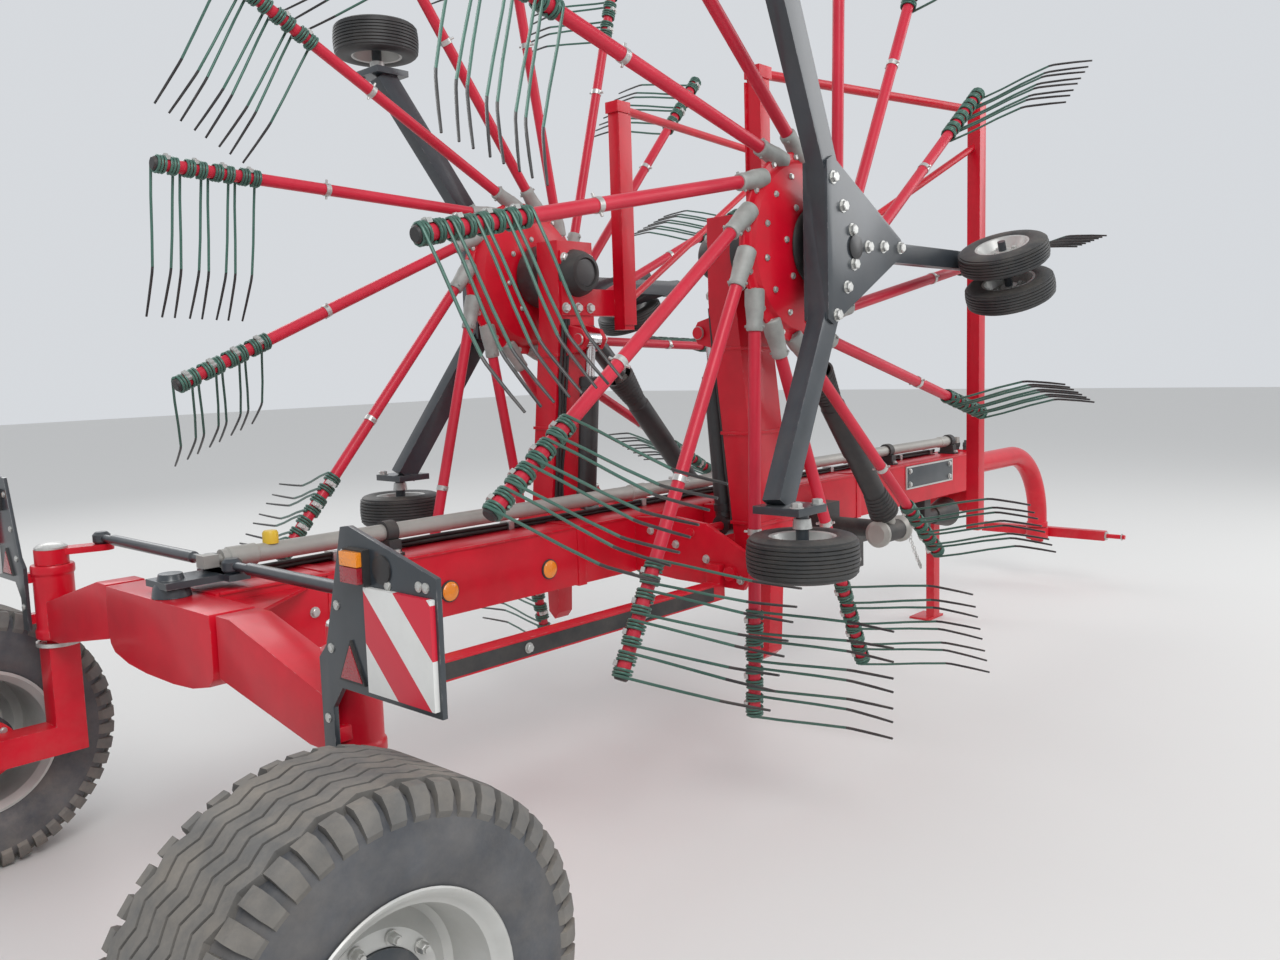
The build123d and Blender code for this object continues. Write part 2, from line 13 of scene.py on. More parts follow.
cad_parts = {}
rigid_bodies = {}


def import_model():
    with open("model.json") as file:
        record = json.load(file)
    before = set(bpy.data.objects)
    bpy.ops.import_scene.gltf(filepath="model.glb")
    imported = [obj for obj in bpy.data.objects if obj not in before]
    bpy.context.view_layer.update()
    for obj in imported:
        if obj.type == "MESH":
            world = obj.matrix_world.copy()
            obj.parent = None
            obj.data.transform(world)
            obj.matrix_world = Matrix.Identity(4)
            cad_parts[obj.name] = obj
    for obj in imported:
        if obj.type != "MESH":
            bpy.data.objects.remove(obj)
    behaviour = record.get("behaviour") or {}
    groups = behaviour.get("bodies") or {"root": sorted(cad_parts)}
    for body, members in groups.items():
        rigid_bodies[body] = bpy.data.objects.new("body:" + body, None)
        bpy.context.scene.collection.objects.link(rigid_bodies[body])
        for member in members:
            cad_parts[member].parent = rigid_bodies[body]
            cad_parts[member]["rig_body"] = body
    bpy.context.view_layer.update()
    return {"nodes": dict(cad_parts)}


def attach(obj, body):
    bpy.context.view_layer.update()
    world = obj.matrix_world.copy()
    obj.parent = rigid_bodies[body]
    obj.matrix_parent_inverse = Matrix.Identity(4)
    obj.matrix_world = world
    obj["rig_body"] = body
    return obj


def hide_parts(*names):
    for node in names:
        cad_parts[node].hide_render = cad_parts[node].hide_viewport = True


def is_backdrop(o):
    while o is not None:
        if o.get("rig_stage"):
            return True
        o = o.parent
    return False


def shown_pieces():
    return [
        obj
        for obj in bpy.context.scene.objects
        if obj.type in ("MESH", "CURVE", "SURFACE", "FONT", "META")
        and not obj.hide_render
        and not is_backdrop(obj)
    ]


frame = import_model()
nodes = frame["nodes"]
scene = bpy.context.scene
scene.view_settings.view_transform = "Standard"

# %% [markdown]
# The machine's own measures are named once. They repeat the source's values, so the
# finer pieces land on the solids that they stand for. `at` counts x from the rear axle.

# %% Measures of the machine
AXLE_X = -2.8475
HUB_X, HUB_Z = 2.14, 1.93
ARM_Y, ARM_OFFSET = 0.70, 0.25
ARM_COUNT = 14
ARM_END = 1.58
PHASE = {1: 280.7, -1: 268.2}
TINES, TINE_PITCH, TINE_SPREAD, WIRE = 4, 0.095, 0.072, 0.009
TYRE_R, WHEEL_Y = 0.425, 1.13
KINGPIN_X, KINGPIN_Y = 0.22, 0.84
TUBE_Z = 1.062  # the steering tube's height
PLATE_OUT = 0.920  # outer face of the undercarriage's bolted plate
SMALL_R, SMALL_HALF = 0.172, 0.066
GUIDE_X, GUIDE_Y, GUIDE_DROP = 1.67, 1.015, 0.97
SIDES = {1: "left", -1: "right"}


def at(x, y, z):
    """A point with x counted from the rear axle."""
    return Vector((AXLE_X + x, y, z))


# %% [markdown]
# ## Finishes
# Paint, rubber and steel differ mostly in how light leaves them, and all of them share
# three effects: a slow mottle of the colour, dust that settles on faces which look
# upwards, and edges that rub bright. Each effect is a node group, built once, so that
# every finish can use it with its own amounts.

# %% Group helpers
def new_group(name, inputs, outputs):
    """An empty shader group with its sockets and its two end nodes."""
    group = bpy.data.node_groups.new(name, "ShaderNodeTree")
    for label, kind, value in inputs:
        socket = group.interface.new_socket(name=label, in_out="INPUT", socket_type=kind)
        socket.default_value = value
    for label, kind in outputs:
        group.interface.new_socket(name=label, in_out="OUTPUT", socket_type=kind)
    return group, group.nodes.new("NodeGroupInput"), group.nodes.new("NodeGroupOutput")


def add(tree, kind, links=None, **values):
    """A node with its values set, and sockets linked by name or number."""
    node = tree.nodes.new(kind)
    for key, value in values.items():
        setattr(node, key, value)
    for key, source in (links or {}).items():
        if hasattr(source, "links"):
            tree.links.new(source, node.inputs[key])
        else:
            node.inputs[key].default_value = source
    return node


# %% Mottle group
FLOAT, COLOUR = "NodeSocketFloat", "NodeSocketColor"
mottle, g_in, g_out = new_group(
    "mottle",
    [("Light", COLOUR, (0.5, 0.5, 0.5, 1)), ("Dark", COLOUR, (0.3, 0.3, 0.3, 1)),
     ("Scale", FLOAT, 6.0), ("Contrast", FLOAT, 0.5)],
    [("Color", COLOUR), ("Height", FLOAT)])
place = add(mottle, "ShaderNodeTexCoord")
broad = add(mottle, "ShaderNodeTexNoise",
            {"Vector": place.outputs["Object"], "Scale": g_in.outputs["Scale"],
             "Detail": 5.0, "Roughness": 0.6})
fine = add(mottle, "ShaderNodeTexNoise", {"Vector": place.outputs["Object"], "Scale": 160.0, "Detail": 3.0})
spread = add(mottle, "ShaderNodeMapRange",
             {"Value": broad.outputs["Fac"], "From Min": 0.32, "From Max": 0.68,
              "To Min": 0.0, "To Max": g_in.outputs["Contrast"]})
blend = add(mottle, "ShaderNodeMix",
            {0: spread.outputs["Result"], 6: g_in.outputs["Light"], 7: g_in.outputs["Dark"]},
            data_type="RGBA")
mottle.links.new(blend.outputs[2], g_out.inputs["Color"])
mottle.links.new(fine.outputs["Fac"], g_out.inputs["Height"])
print("group", mottle.name)

# %% Dust group
dust, g_in, g_out = new_group(
    "dust", [("Amount", FLOAT, 0.5), ("Low Mud", FLOAT, 0.2), ("Scale", FLOAT, 9.0)], [("Mask", FLOAT)])
place = add(dust, "ShaderNodeTexCoord")
facing = add(dust, "ShaderNodeNewGeometry")
up = add(dust, "ShaderNodeSeparateXYZ", {0: facing.outputs["Normal"]})
high = add(dust, "ShaderNodeSeparateXYZ", {0: place.outputs["Object"]})
flat = add(dust, "ShaderNodeMapRange", {"Value": up.outputs["Z"], "From Min": 0.1, "From Max": 1.0,
                                        "To Min": 0.25, "To Max": 1.0})
low = add(dust, "ShaderNodeMapRange", {"Value": high.outputs["Z"], "From Min": 1.0, "From Max": 0.1,
                                       "To Min": 0.0, "To Max": g_in.outputs["Low Mud"]})
cloud = add(dust, "ShaderNodeTexNoise", {"Vector": place.outputs["Object"], "Scale": g_in.outputs["Scale"],
                                         "Detail": 8.0, "Roughness": 0.7})
patch = add(dust, "ShaderNodeMapRange", {"Value": cloud.outputs["Fac"], "From Min": 0.38, "From Max": 0.75})
laid = add(dust, "ShaderNodeMath", {0: flat.outputs["Result"], 1: g_in.outputs["Amount"]},
           operation="MULTIPLY")
both = add(dust, "ShaderNodeMath", {0: laid.outputs[0], 1: low.outputs["Result"]}, operation="ADD")
mask = add(dust, "ShaderNodeMath", {0: both.outputs[0], 1: patch.outputs["Result"]}, operation="MULTIPLY",
           use_clamp=True)
dust.links.new(mask.outputs[0], g_out.inputs["Mask"])
print("group", dust.name)

# %% Edge wear group
wear, g_in, g_out = new_group(
    "edge wear", [("Width", FLOAT, 0.004), ("Amount", FLOAT, 0.5)], [("Mask", FLOAT)])
rounded = add(wear, "ShaderNodeBevel", {"Radius": g_in.outputs["Width"]}, samples=4)
true = add(wear, "ShaderNodeNewGeometry")
turn = add(wear, "ShaderNodeVectorMath", {0: rounded.outputs[0], 1: true.outputs["Normal"]},
           operation="DOT_PRODUCT")
edge = add(wear, "ShaderNodeMapRange", {"Value": turn.outputs["Value"], "From Min": 0.97, "From Max": 0.80})
place = add(wear, "ShaderNodeTexCoord")
chips = add(wear, "ShaderNodeTexNoise", {"Vector": place.outputs["Object"], "Scale": 45.0, "Detail": 6.0})
worn = add(wear, "ShaderNodeMapRange", {"Value": chips.outputs["Fac"], "From Min": 0.5, "From Max": 0.66})
some = add(wear, "ShaderNodeMath", {0: edge.outputs["Result"], 1: worn.outputs["Result"]},
           operation="MULTIPLY")
mask = add(wear, "ShaderNodeMath", {0: some.outputs[0], 1: g_in.outputs["Amount"]}, operation="MULTIPLY",
           use_clamp=True)
wear.links.new(mask.outputs[0], g_out.inputs["Mask"])
print("group", wear.name)


# %% Finish helper
def rgb(r, g, b):
    return (r, g, b, 1.0)


DUST_COLOUR = rgb(0.40, 0.34, 0.27)
BARE_STEEL = rgb(0.42, 0.41, 0.40)
RUB_WIDTH = 0.004


def finish(name, light, dark, rough=0.4, metal=0.0, coat=0.0, scale=6.0, contrast=0.6,
           dusty=0.3, muddy=0.1, rub=0.4, rub_colour=BARE_STEEL, bump=0.05, gloss=0.5):
    """A finish: mottled colour, dust on top, rubbed edges and a fine grain."""
    mat = bpy.data.materials.new(name)
    mat.use_nodes = True
    tree = mat.node_tree
    shader = tree.nodes["Principled BSDF"]
    base = add(tree, "ShaderNodeGroup", node_tree=mottle)
    base.inputs["Light"].default_value = light
    base.inputs["Dark"].default_value = dark
    base.inputs["Scale"].default_value = scale
    base.inputs["Contrast"].default_value = contrast
    colour = base.outputs["Color"]
    if rub > 0:
        rubbed = add(tree, "ShaderNodeGroup", node_tree=wear)
        rubbed.inputs["Width"].default_value = RUB_WIDTH
        rubbed.inputs["Amount"].default_value = rub
        mixed = add(tree, "ShaderNodeMix", {0: rubbed.outputs["Mask"], 6: colour, 7: rub_colour},
                    data_type="RGBA")
        colour = mixed.outputs[2]
    settled = add(tree, "ShaderNodeGroup", node_tree=dust)
    settled.inputs["Amount"].default_value = dusty
    settled.inputs["Low Mud"].default_value = muddy
    mixed = add(tree, "ShaderNodeMix", {0: settled.outputs["Mask"], 6: colour, 7: DUST_COLOUR},
                data_type="RGBA")
    tree.links.new(mixed.outputs[2], shader.inputs["Base Color"])
    matt = add(tree, "ShaderNodeMapRange",
               {"Value": settled.outputs["Mask"], "To Min": rough, "To Max": 0.9})
    tree.links.new(matt.outputs["Result"], shader.inputs["Roughness"])
    grain = add(tree, "ShaderNodeBump",
                {"Height": base.outputs["Height"], "Strength": bump, "Distance": 0.001})
    tree.links.new(grain.outputs["Normal"], shader.inputs["Normal"])
    shader.inputs["Metallic"].default_value = metal
    shader.inputs["Coat Weight"].default_value = coat
    shader.inputs["Specular IOR Level"].default_value = gloss
    shader.inputs["Coat Roughness"].default_value = 0.15
    return mat


# %% [markdown]
# The real machine wears a glossy crimson on beams and booms, a slightly pinker sun-faded
# red on the tine arms, graphite on the running gear, raw cast grey on the sockets and
# zinc on the bolts. Colours are written as they should look in plain light, except that
# the red paint's darker tone is its crimson in shadow, which makes painted shade, and the
# tyre wall's wide spread of tones is partly painted highlight.

# %% Painted and metal finishes
# The red paint's lighter tone is the crimson in light and its darker tone the crimson in shadow, so the
# mottle scatters painted shade over it.
red = finish("red paint", rgb(0.64, 0.002, 0.020), rgb(0.43, 0.002, 0.012), 0.36, coat=0.22, dusty=0.06,
             gloss=0.3, muddy=0.12, rub=0.5)
arm_red = finish("arm red", rgb(0.62, 0.022, 0.052), rgb(0.44, 0.010, 0.028), 0.42, coat=0.12, scale=4.0,
                 gloss=0.3, dusty=0.08, muddy=0.1, rub=0.0)
graphite = finish("graphite paint", rgb(0.036, 0.045, 0.055), rgb(0.018, 0.023, 0.028), 0.32, coat=0.3,
                  dusty=0.14, muddy=0.15, rub=0.5)
black = finish("black satin", rgb(0.022, 0.023, 0.025), rgb(0.010, 0.010, 0.012), 0.38, coat=0.15,
               dusty=0.22, muddy=0.12, rub=0.25)
plastic = finish("black guard plastic", rgb(0.026, 0.026, 0.028), rgb(0.014, 0.014, 0.015), 0.5, dusty=0.28,
                 muddy=0.15, rub=0.0, bump=0.12)
cast = finish("cast grey", rgb(0.40, 0.41, 0.39), rgb(0.22, 0.23, 0.22), 0.62, metal=0.25, scale=18.0,
              dusty=0.2, rub=0.3, rub_colour=rgb(0.6, 0.6, 0.6), bump=0.35)
zinc = finish("zinc bolt", rgb(0.62, 0.62, 0.60), rgb(0.40, 0.40, 0.38), 0.38, metal=0.7, scale=60.0,
              dusty=0.12, rub=0.0, bump=0.05)
tube_grey = finish("grey steering tube", rgb(0.42, 0.41, 0.38), rgb(0.27, 0.26, 0.24), 0.45, metal=0.35,
                   dusty=0.3, rub=0.2)
chrome = finish("bright rod", rgb(0.70, 0.70, 0.71), rgb(0.55, 0.55, 0.56), 0.12, metal=1.0, dusty=0.05,
                rub=0.0, bump=0.0)
silver = finish("rim silver", rgb(0.60, 0.60, 0.58), rgb(0.42, 0.42, 0.40), 0.4, metal=0.3, dusty=0.22,
                muddy=0.15, rub=0.3)
tine_green = finish("tine steel", rgb(0.070, 0.175, 0.135), rgb(0.024, 0.066, 0.052), 0.36, metal=0.2,
                    scale=3.0, dusty=0.12, muddy=0.1, rub=0.0)
yellow = finish("yellow cap", rgb(0.78, 0.52, 0.03), rgb(0.55, 0.34, 0.02), 0.4, dusty=0.15, rub=0.0)
tyre_rubber = finish("road tyre rubber", rgb(0.155, 0.150, 0.142), rgb(0.080, 0.078, 0.075), 0.75,
                     scale=11.0, dusty=0.45, muddy=0.30, rub=0.0, bump=0.35)
# The tyre wall's high mottle contrast is partly its real mottling and partly painted highlight standing for
# the sidewall's gloss.
wall_rubber = finish("tyre wall rubber", rgb(0.094, 0.099, 0.110), rgb(0.044, 0.047, 0.054), 0.55,
                     scale=7.0, contrast=0.8, dusty=0.35, muddy=0.22, rub=0.0, bump=0.3)
small_rubber = finish("small tyre rubber", rgb(0.034, 0.036, 0.038), rgb(0.017, 0.018, 0.019), 0.5,
                      scale=14.0, dusty=0.25, muddy=0.08, rub=0.0, bump=0.25)
print("finishes", len(bpy.data.materials))

# %% [markdown]
# Warning boards carry slanting red and white bands that fall towards the outside. The
# bands are counted along the height plus the distance from the middle, so that one
# finish suits both boards and comes out mirrored.

# %% Striped board, lamp and reflector finishes
BAND_START, BAND_PITCH = 1.98, 0.205
stripes = finish("striped board", rgb(0.78, 0.78, 0.76), rgb(0.62, 0.62, 0.60), 0.35, coat=0.2, dusty=0.25,
                 rub=0.3)
tree = stripes.node_tree
shader = tree.nodes["Principled BSDF"]
place = add(tree, "ShaderNodeTexCoord")
apart = add(tree, "ShaderNodeSeparateXYZ", {0: place.outputs["Object"]})
outwards = add(tree, "ShaderNodeMath", {0: apart.outputs["Y"]}, operation="ABSOLUTE")
along = add(tree, "ShaderNodeMath", {0: outwards.outputs[0], 1: apart.outputs["Z"]}, operation="ADD")
start = add(tree, "ShaderNodeMath", {0: along.outputs[0], 1: BAND_START}, operation="SUBTRACT")
bands = add(tree, "ShaderNodeMath", {0: start.outputs[0], 1: BAND_PITCH}, operation="DIVIDE")
part = add(tree, "ShaderNodeMath", {0: bands.outputs[0]}, operation="FRACT")
is_red = add(tree, "ShaderNodeMath", {0: part.outputs[0], 1: 0.5}, operation="GREATER_THAN")
under = shader.inputs["Base Color"].links[0].from_socket
tint = add(tree, "ShaderNodeMix", {0: is_red.outputs[0], 6: under, 7: rgb(0.62, 0.010, 0.035)},
           data_type="RGBA")
tree.links.new(tint.outputs[2], shader.inputs["Base Color"])


def lens(name, colour, painted_glow):
    """Coloured clear plastic with a fine prism relief behind it, and a painted glow."""
    mat = finish(name, colour, tuple(c * 0.7 for c in colour[:3]) + (1.0,), 0.16, coat=0.6, scale=30.0,
                 dusty=0.15, rub=0.0, bump=0.0)
    tree = mat.node_tree
    shader = tree.nodes["Principled BSDF"]
    place = add(tree, "ShaderNodeTexCoord")
    prisms = add(tree, "ShaderNodeTexVoronoi", {"Vector": place.outputs["Object"], "Scale": 170.0})
    relief = add(tree, "ShaderNodeBump", {"Height": prisms.outputs["Distance"], "Strength": 0.5,
                                          "Distance": 0.002})
    tree.links.new(relief.outputs["Normal"], shader.inputs["Normal"])
    # The emission is a painted glow: the lens lights up though no lamp stands behind it.
    shader.inputs["Emission Color"].default_value = colour
    shader.inputs["Emission Strength"].default_value = painted_glow
    return mat


amber = lens("amber reflector", rgb(0.85, 0.26, 0.015), 0.12)
# The red lens's dark maroon is partly its own colour and partly painted shade, darkened for the shade that
# falls on the triangles; its painted glow is kept faint.
red_lens = lens("red reflector", rgb(0.34, 0.010, 0.022), 0.03)
print("stripes and lenses")

# %% [markdown]
# ## Shapes
# Most pieces here are built from a few kinds of form: slabs, plates cut to an outline,
# turned profiles and round bars that follow a path. `Shape` gathers corners and faces;
# `finish_piece` makes them one object with soft edges and lets it ride on its body.


# %% Shape helper
class Shape:
    """Corners and faces that will become one mesh."""

    def __init__(self):
        self.corners = []
        self.faces = []

    def put(self, made, matrix=None):
        corners, faces = made
        start = len(self.corners)
        for corner in corners:
            self.corners.append(tuple(matrix @ Vector(corner)) if matrix else tuple(corner))
        for face in faces:
            self.faces.append(tuple(start + i for i in face))
        return self

    def mirrored(self):
        """The same shape on the machine's other side."""
        twin = Shape()
        twin.corners = [(x, -y, z) for x, y, z in self.corners]
        twin.faces = [tuple(reversed(face)) for face in self.faces]
        return twin


def made_of(shape):
    return shape.corners, shape.faces


# %% Slabs, plates and turned profiles
def slab(x0, x1, y0, y1, z0, z1):
    """A block between two corners, x counted from the rear axle."""
    corners = [(AXLE_X + x, y, z) for x in (x0, x1) for y in (y0, y1) for z in (z0, z1)]
    return corners, [(0, 1, 3, 2), (4, 6, 7, 5), (0, 4, 5, 1), (2, 3, 7, 6), (0, 2, 6, 4), (1, 5, 7, 3)]


def plate(outline, low, high):
    """A flat plate with a given outline in x and y, from low to high in z."""
    n = len(outline)
    corners = [(x, y, low) for x, y in outline] + [(x, y, high) for x, y in outline]
    faces = [tuple(reversed(range(n))), tuple(range(n, 2 * n))]
    faces += [(k, (k + 1) % n, n + (k + 1) % n, n + k) for k in range(n)]
    return corners, faces


def turned(profile, steps=32, closed=True):
    """A profile of (radius, height) turned round the z axis."""
    corners, faces, n = [], [], len(profile)
    for k in range(steps):
        a = 2 * pi * k / steps
        corners += [(r * cos(a), r * sin(a), h) for r, h in profile]
    last = n if closed else n - 1
    for k in range(steps):
        m = (k + 1) % steps
        for i in range(last):
            j = (i + 1) % n
            faces.append((k * n + i, m * n + i, m * n + j, k * n + j))
    return corners, faces


def bar(points, radius, sides=8):
    """A round bar along points; radius is one number or one for each point."""
    points = [Vector(p) for p in points]
    radii = radius if isinstance(radius, (list, tuple)) else [radius] * len(points)
    corners, faces = [], []
    side = None
    for k, point in enumerate(points):
        before = points[max(k - 1, 0)]
        after = points[min(k + 1, len(points) - 1)]
        way = (after - before).normalized()
        side = way.orthogonal().normalized() if side is None else (side - way * side.dot(way)).normalized()
        lift = way.cross(side)
        for s in range(sides):
            a = 2 * pi * s / sides
            corners.append(tuple(point + side * radii[k] * cos(a) + lift * radii[k] * sin(a)))
    for k in range(len(points) - 1):
        for s in range(sides):
            t = (s + 1) % sides
            faces.append((k * sides + s, k * sides + t, (k + 1) * sides + t, (k + 1) * sides + s))
    faces.append(tuple(reversed(range(sides))))
    faces.append(tuple(range((len(points) - 1) * sides, len(points) * sides)))
    return corners, faces


def frame_at(origin, axis, side=None):
    """A matrix whose z follows axis, and whose x follows side where it is given."""
    z = Vector(axis).normalized()
    x = Vector(side) if side is not None else z.orthogonal()
    x = (x - z * x.dot(z)).normalized()
    y = z.cross(x)
    rows = Matrix((x, y, z)).transposed().to_4x4()
    rows.translation = Vector(origin)
    return rows


# %% Bolt, ring and finishing helpers
def bolt_head(across=0.024, high=0.012):
    """A hexagon head on its washer, pointing up z."""
    r = across / 2 / cos(pi / 6)
    head = Shape()
    head.put(turned([(0.0, 0.0), (r * 1.25, 0.0), (r * 1.25, 0.0025), (0.0, 0.0025)], 12, False))
    head.put(turned([(0.0, 0.0020), (r, 0.0020), (r, high * 0.85), (r * 0.82, high), (0.0, high)],
                    6, False))
    return made_of(head)


def finish_piece(name, shape, material, body, covers=(), soft=0.0, angle=38.0, width_limit=30.0):
    """One object from a shape: merged, turned outwards, edges softened, riding on its body."""
    mesh = bpy.data.meshes.new(name)
    mesh.from_pydata(shape.corners, [], shape.faces)
    work = bmesh.new()
    work.from_mesh(mesh)
    bmesh.ops.remove_doubles(work, verts=work.verts, dist=1e-6)
    bmesh.ops.dissolve_degenerate(work, dist=1e-7, edges=work.edges)
    bmesh.ops.recalc_face_normals(work, faces=work.faces)
    if soft > 0:
        sharp = [e for e in work.edges if len(e.link_faces) == 2 and
                 e.calc_face_angle(0) > radians(width_limit) and e.calc_length() > soft * 1.5]
        bmesh.ops.bevel(work, geom=sharp, offset=soft, segments=2, profile=0.7, affect="EDGES",
                        clamp_overlap=True)
    work.to_mesh(mesh)
    work.free()
    piece = bpy.data.objects.new(name, mesh)
    scene.collection.objects.link(piece)
    mesh.materials.append(material)
    mesh.shade_smooth()
    mesh.set_sharp_from_angle(angle=radians(angle))
    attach(piece, body)
    if covers:
        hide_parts(*covers)
    return piece


def softened(node, material, soft=0.004, angle=32.0):
    """A finer copy of a solid: loose faces joined, flats made whole, edges rounded."""
    source = nodes[node].data
    shape = Shape()
    work = bmesh.new()
    work.from_mesh(source)
    bmesh.ops.remove_doubles(work, verts=work.verts, dist=2e-5)
    bmesh.ops.dissolve_limit(work, angle_limit=radians(1.0), verts=work.verts, edges=work.edges)
    work.verts.index_update()
    shape.corners = [tuple(v.co) for v in work.verts]
    shape.faces = [tuple(v.index for v in f.verts) for f in work.faces]
    work.free()
    body = nodes[node]["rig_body"]
    return finish_piece(node + "_soft", shape, material, body, (node,), soft, angle, 40.0)


print("helpers ready")

# %% [markdown]
# ## Trees that repeat things
# Tread pitches, bolts and coil turns repeat by a rule, which is what Geometry Nodes do
# well: a ring of copies, copies on marked points, and a helix. Each tree has named
# inputs, ends in real geometry and is turned into a plain mesh at once.


# %% Tree helpers
def new_tree(name, inputs):
    """A geometry tree with its named inputs, and its two end nodes."""
    tree = bpy.data.node_groups.new(name, "GeometryNodeTree")
    tree.interface.new_socket(name="Geometry", in_out="OUTPUT", socket_type="NodeSocketGeometry")
    for label, kind, value in inputs:
        socket = tree.interface.new_socket(name=label, in_out="INPUT", socket_type=kind)
        if value is not None:
            socket.default_value = value
    return tree, tree.nodes.new("NodeGroupInput"), tree.nodes.new("NodeGroupOutput")


def close_tree(tree, g_in, g_out, geometry):
    """Ends a tree: instances made real, material set."""
    real = add(tree, "GeometryNodeRealizeInstances", {0: geometry})
    painted = add(tree, "GeometryNodeSetMaterial", {"Geometry": real.outputs[0],
                                                    "Material": g_in.outputs["Finish"]})
    tree.links.new(painted.outputs[0], g_out.inputs[0])


def grow(tree, values, base=None):
    """Runs a tree and gives back its corners and faces."""
    mesh = base if base is not None else bpy.data.meshes.new("seed")
    carrier = bpy.data.objects.new("carrier", mesh)
    scene.collection.objects.link(carrier)
    modifier = carrier.modifiers.new("grow", "NODES")
    modifier.node_group = tree
    for item in tree.interface.items_tree:
        if item.in_out == "INPUT" and item.name in values:
            modifier[item.identifier] = values[item.name]
    bpy.context.view_layer.update()
    result = bpy.data.meshes.new_from_object(carrier.evaluated_get(bpy.context.evaluated_depsgraph_get()))
    made = ([tuple(v.co) for v in result.vertices], [tuple(p.vertices) for p in result.polygons])
    bpy.data.objects.remove(carrier)
    bpy.data.meshes.remove(result)
    return made


def item_object(made, name):
    """An object that a tree copies."""
    mesh = bpy.data.meshes.new(name)
    mesh.from_pydata(made[0], [], made[1])
    item = bpy.data.objects.new(name, mesh)
    scene.collection.objects.link(item)
    return item


# %% Ring tree
INT_IN = "NodeSocketInt"
OBJECT_IN, MATERIAL_IN, GEOMETRY_IN = "NodeSocketObject", "NodeSocketMaterial", "NodeSocketGeometry"
ring_tree, g_in, g_out = new_tree("ring of copies", [
    ("Item", OBJECT_IN, None), ("Count", INT_IN, 12), ("Radius", FLOAT, 0.1),
    ("First Angle", FLOAT, 0.0), ("Finish", MATERIAL_IN, None)])
circle = add(ring_tree, "GeometryNodeMeshCircle", {"Vertices": g_in.outputs["Count"],
                                                   "Radius": g_in.outputs["Radius"]})
item = add(ring_tree, "GeometryNodeObjectInfo", {"Object": g_in.outputs["Item"]})
index = add(ring_tree, "GeometryNodeInputIndex")
step = add(ring_tree, "ShaderNodeMath", {0: 2 * pi, 1: g_in.outputs["Count"]}, operation="DIVIDE")
angle = add(ring_tree, "ShaderNodeMath", {0: index.outputs[0], 1: step.outputs[0]}, operation="MULTIPLY")
turn = add(ring_tree, "ShaderNodeCombineXYZ", {"Z": angle.outputs[0]})
copies = add(ring_tree, "GeometryNodeInstanceOnPoints", {
    "Points": circle.outputs[0], "Instance": item.outputs["Geometry"], "Rotation": turn.outputs[0]})
first = add(ring_tree, "ShaderNodeCombineXYZ", {"Z": g_in.outputs["First Angle"]})
whole = add(ring_tree, "GeometryNodeTransform",
            {"Geometry": copies.outputs[0], "Rotation": first.outputs[0]})
close_tree(ring_tree, g_in, g_out, whole.outputs[0])


def ring_of(made, count, radius, first=0.0, material=None):
    """Copies of one shape round the z axis; the shape's x points outward."""
    item = item_object(made, "ring_item")
    done = grow(ring_tree, {"Item": item, "Count": count, "Radius": radius, "First Angle": first,
                            "Finish": material or zinc})
    bpy.data.objects.remove(item)
    return done


# %% Marked points tree
points_tree, g_in, g_out = new_tree("copies on marked points", [
    ("Marks", GEOMETRY_IN, None), ("Item", OBJECT_IN, None), ("Seed", INT_IN, 3),
    ("Finish", MATERIAL_IN, None)])
item = add(points_tree, "GeometryNodeObjectInfo", {"Object": g_in.outputs["Item"]})
marks = add(points_tree, "GeometryNodeInputNamedAttribute", {"Name": "facing"}, data_type="FLOAT_VECTOR")
aim = add(points_tree, "FunctionNodeAlignRotationToVector", {"Vector": marks.outputs[0]}, axis="Z")
chance = add(points_tree, "FunctionNodeRandomValue", {"Seed": g_in.outputs["Seed"]}, data_type="FLOAT")
spin = add(points_tree, "ShaderNodeMath", {0: chance.outputs[1], 1: pi}, operation="MULTIPLY")
own = add(points_tree, "ShaderNodeCombineXYZ", {"Z": spin.outputs[0]})
aimed = add(points_tree, "FunctionNodeRotateRotation",
            {"Rotation": aim.outputs[0], "Rotate By": own.outputs[0]}, rotation_space="LOCAL")
copies = add(points_tree, "GeometryNodeInstanceOnPoints", {
    "Points": g_in.outputs["Marks"], "Instance": item.outputs["Geometry"], "Rotation": aimed.outputs[0]})
close_tree(points_tree, g_in, g_out, copies.outputs[0])


def bolts_on(marks, across=0.024, high=0.012):
    """Bolt heads on marks of (place, direction)."""
    mesh = bpy.data.meshes.new("marks")
    mesh.from_pydata([tuple(place) for place, _ in marks], [], [])
    facing = mesh.attributes.new("facing", "FLOAT_VECTOR", "POINT")
    for k, (_, way) in enumerate(marks):
        facing.data[k].vector = Vector(way).normalized()
    item = item_object(bolt_head(across, high), "bolt_item")
    done = grow(points_tree, {"Item": item, "Seed": 3, "Finish": zinc}, mesh)
    bpy.data.objects.remove(item)
    return done


# %% Helix tree
helix_tree, g_in, g_out = new_tree("wound wire", [
    ("Turns", FLOAT, 3.0), ("Coil Radius", FLOAT, 0.028), ("Length", FLOAT, 0.034),
    ("Wire Radius", FLOAT, 0.0045), ("Finish", MATERIAL_IN, None)])
spiral = add(helix_tree, "GeometryNodeCurveSpiral", {
    "Resolution": 12, "Rotations": g_in.outputs["Turns"], "Start Radius": g_in.outputs["Coil Radius"],
    "End Radius": g_in.outputs["Coil Radius"], "Height": g_in.outputs["Length"]})
section = add(helix_tree, "GeometryNodeCurvePrimitiveCircle", {"Resolution": 6,
                                                               "Radius": g_in.outputs["Wire Radius"]})
swept = add(helix_tree, "GeometryNodeCurveToMesh", {"Curve": spiral.outputs[0],
                                                    "Profile Curve": section.outputs[0], "Fill Caps": True})
close_tree(helix_tree, g_in, g_out, swept.outputs[0])
print("trees", [t.name for t in bpy.data.node_groups if t.bl_idname == "GeometryNodeTree"])

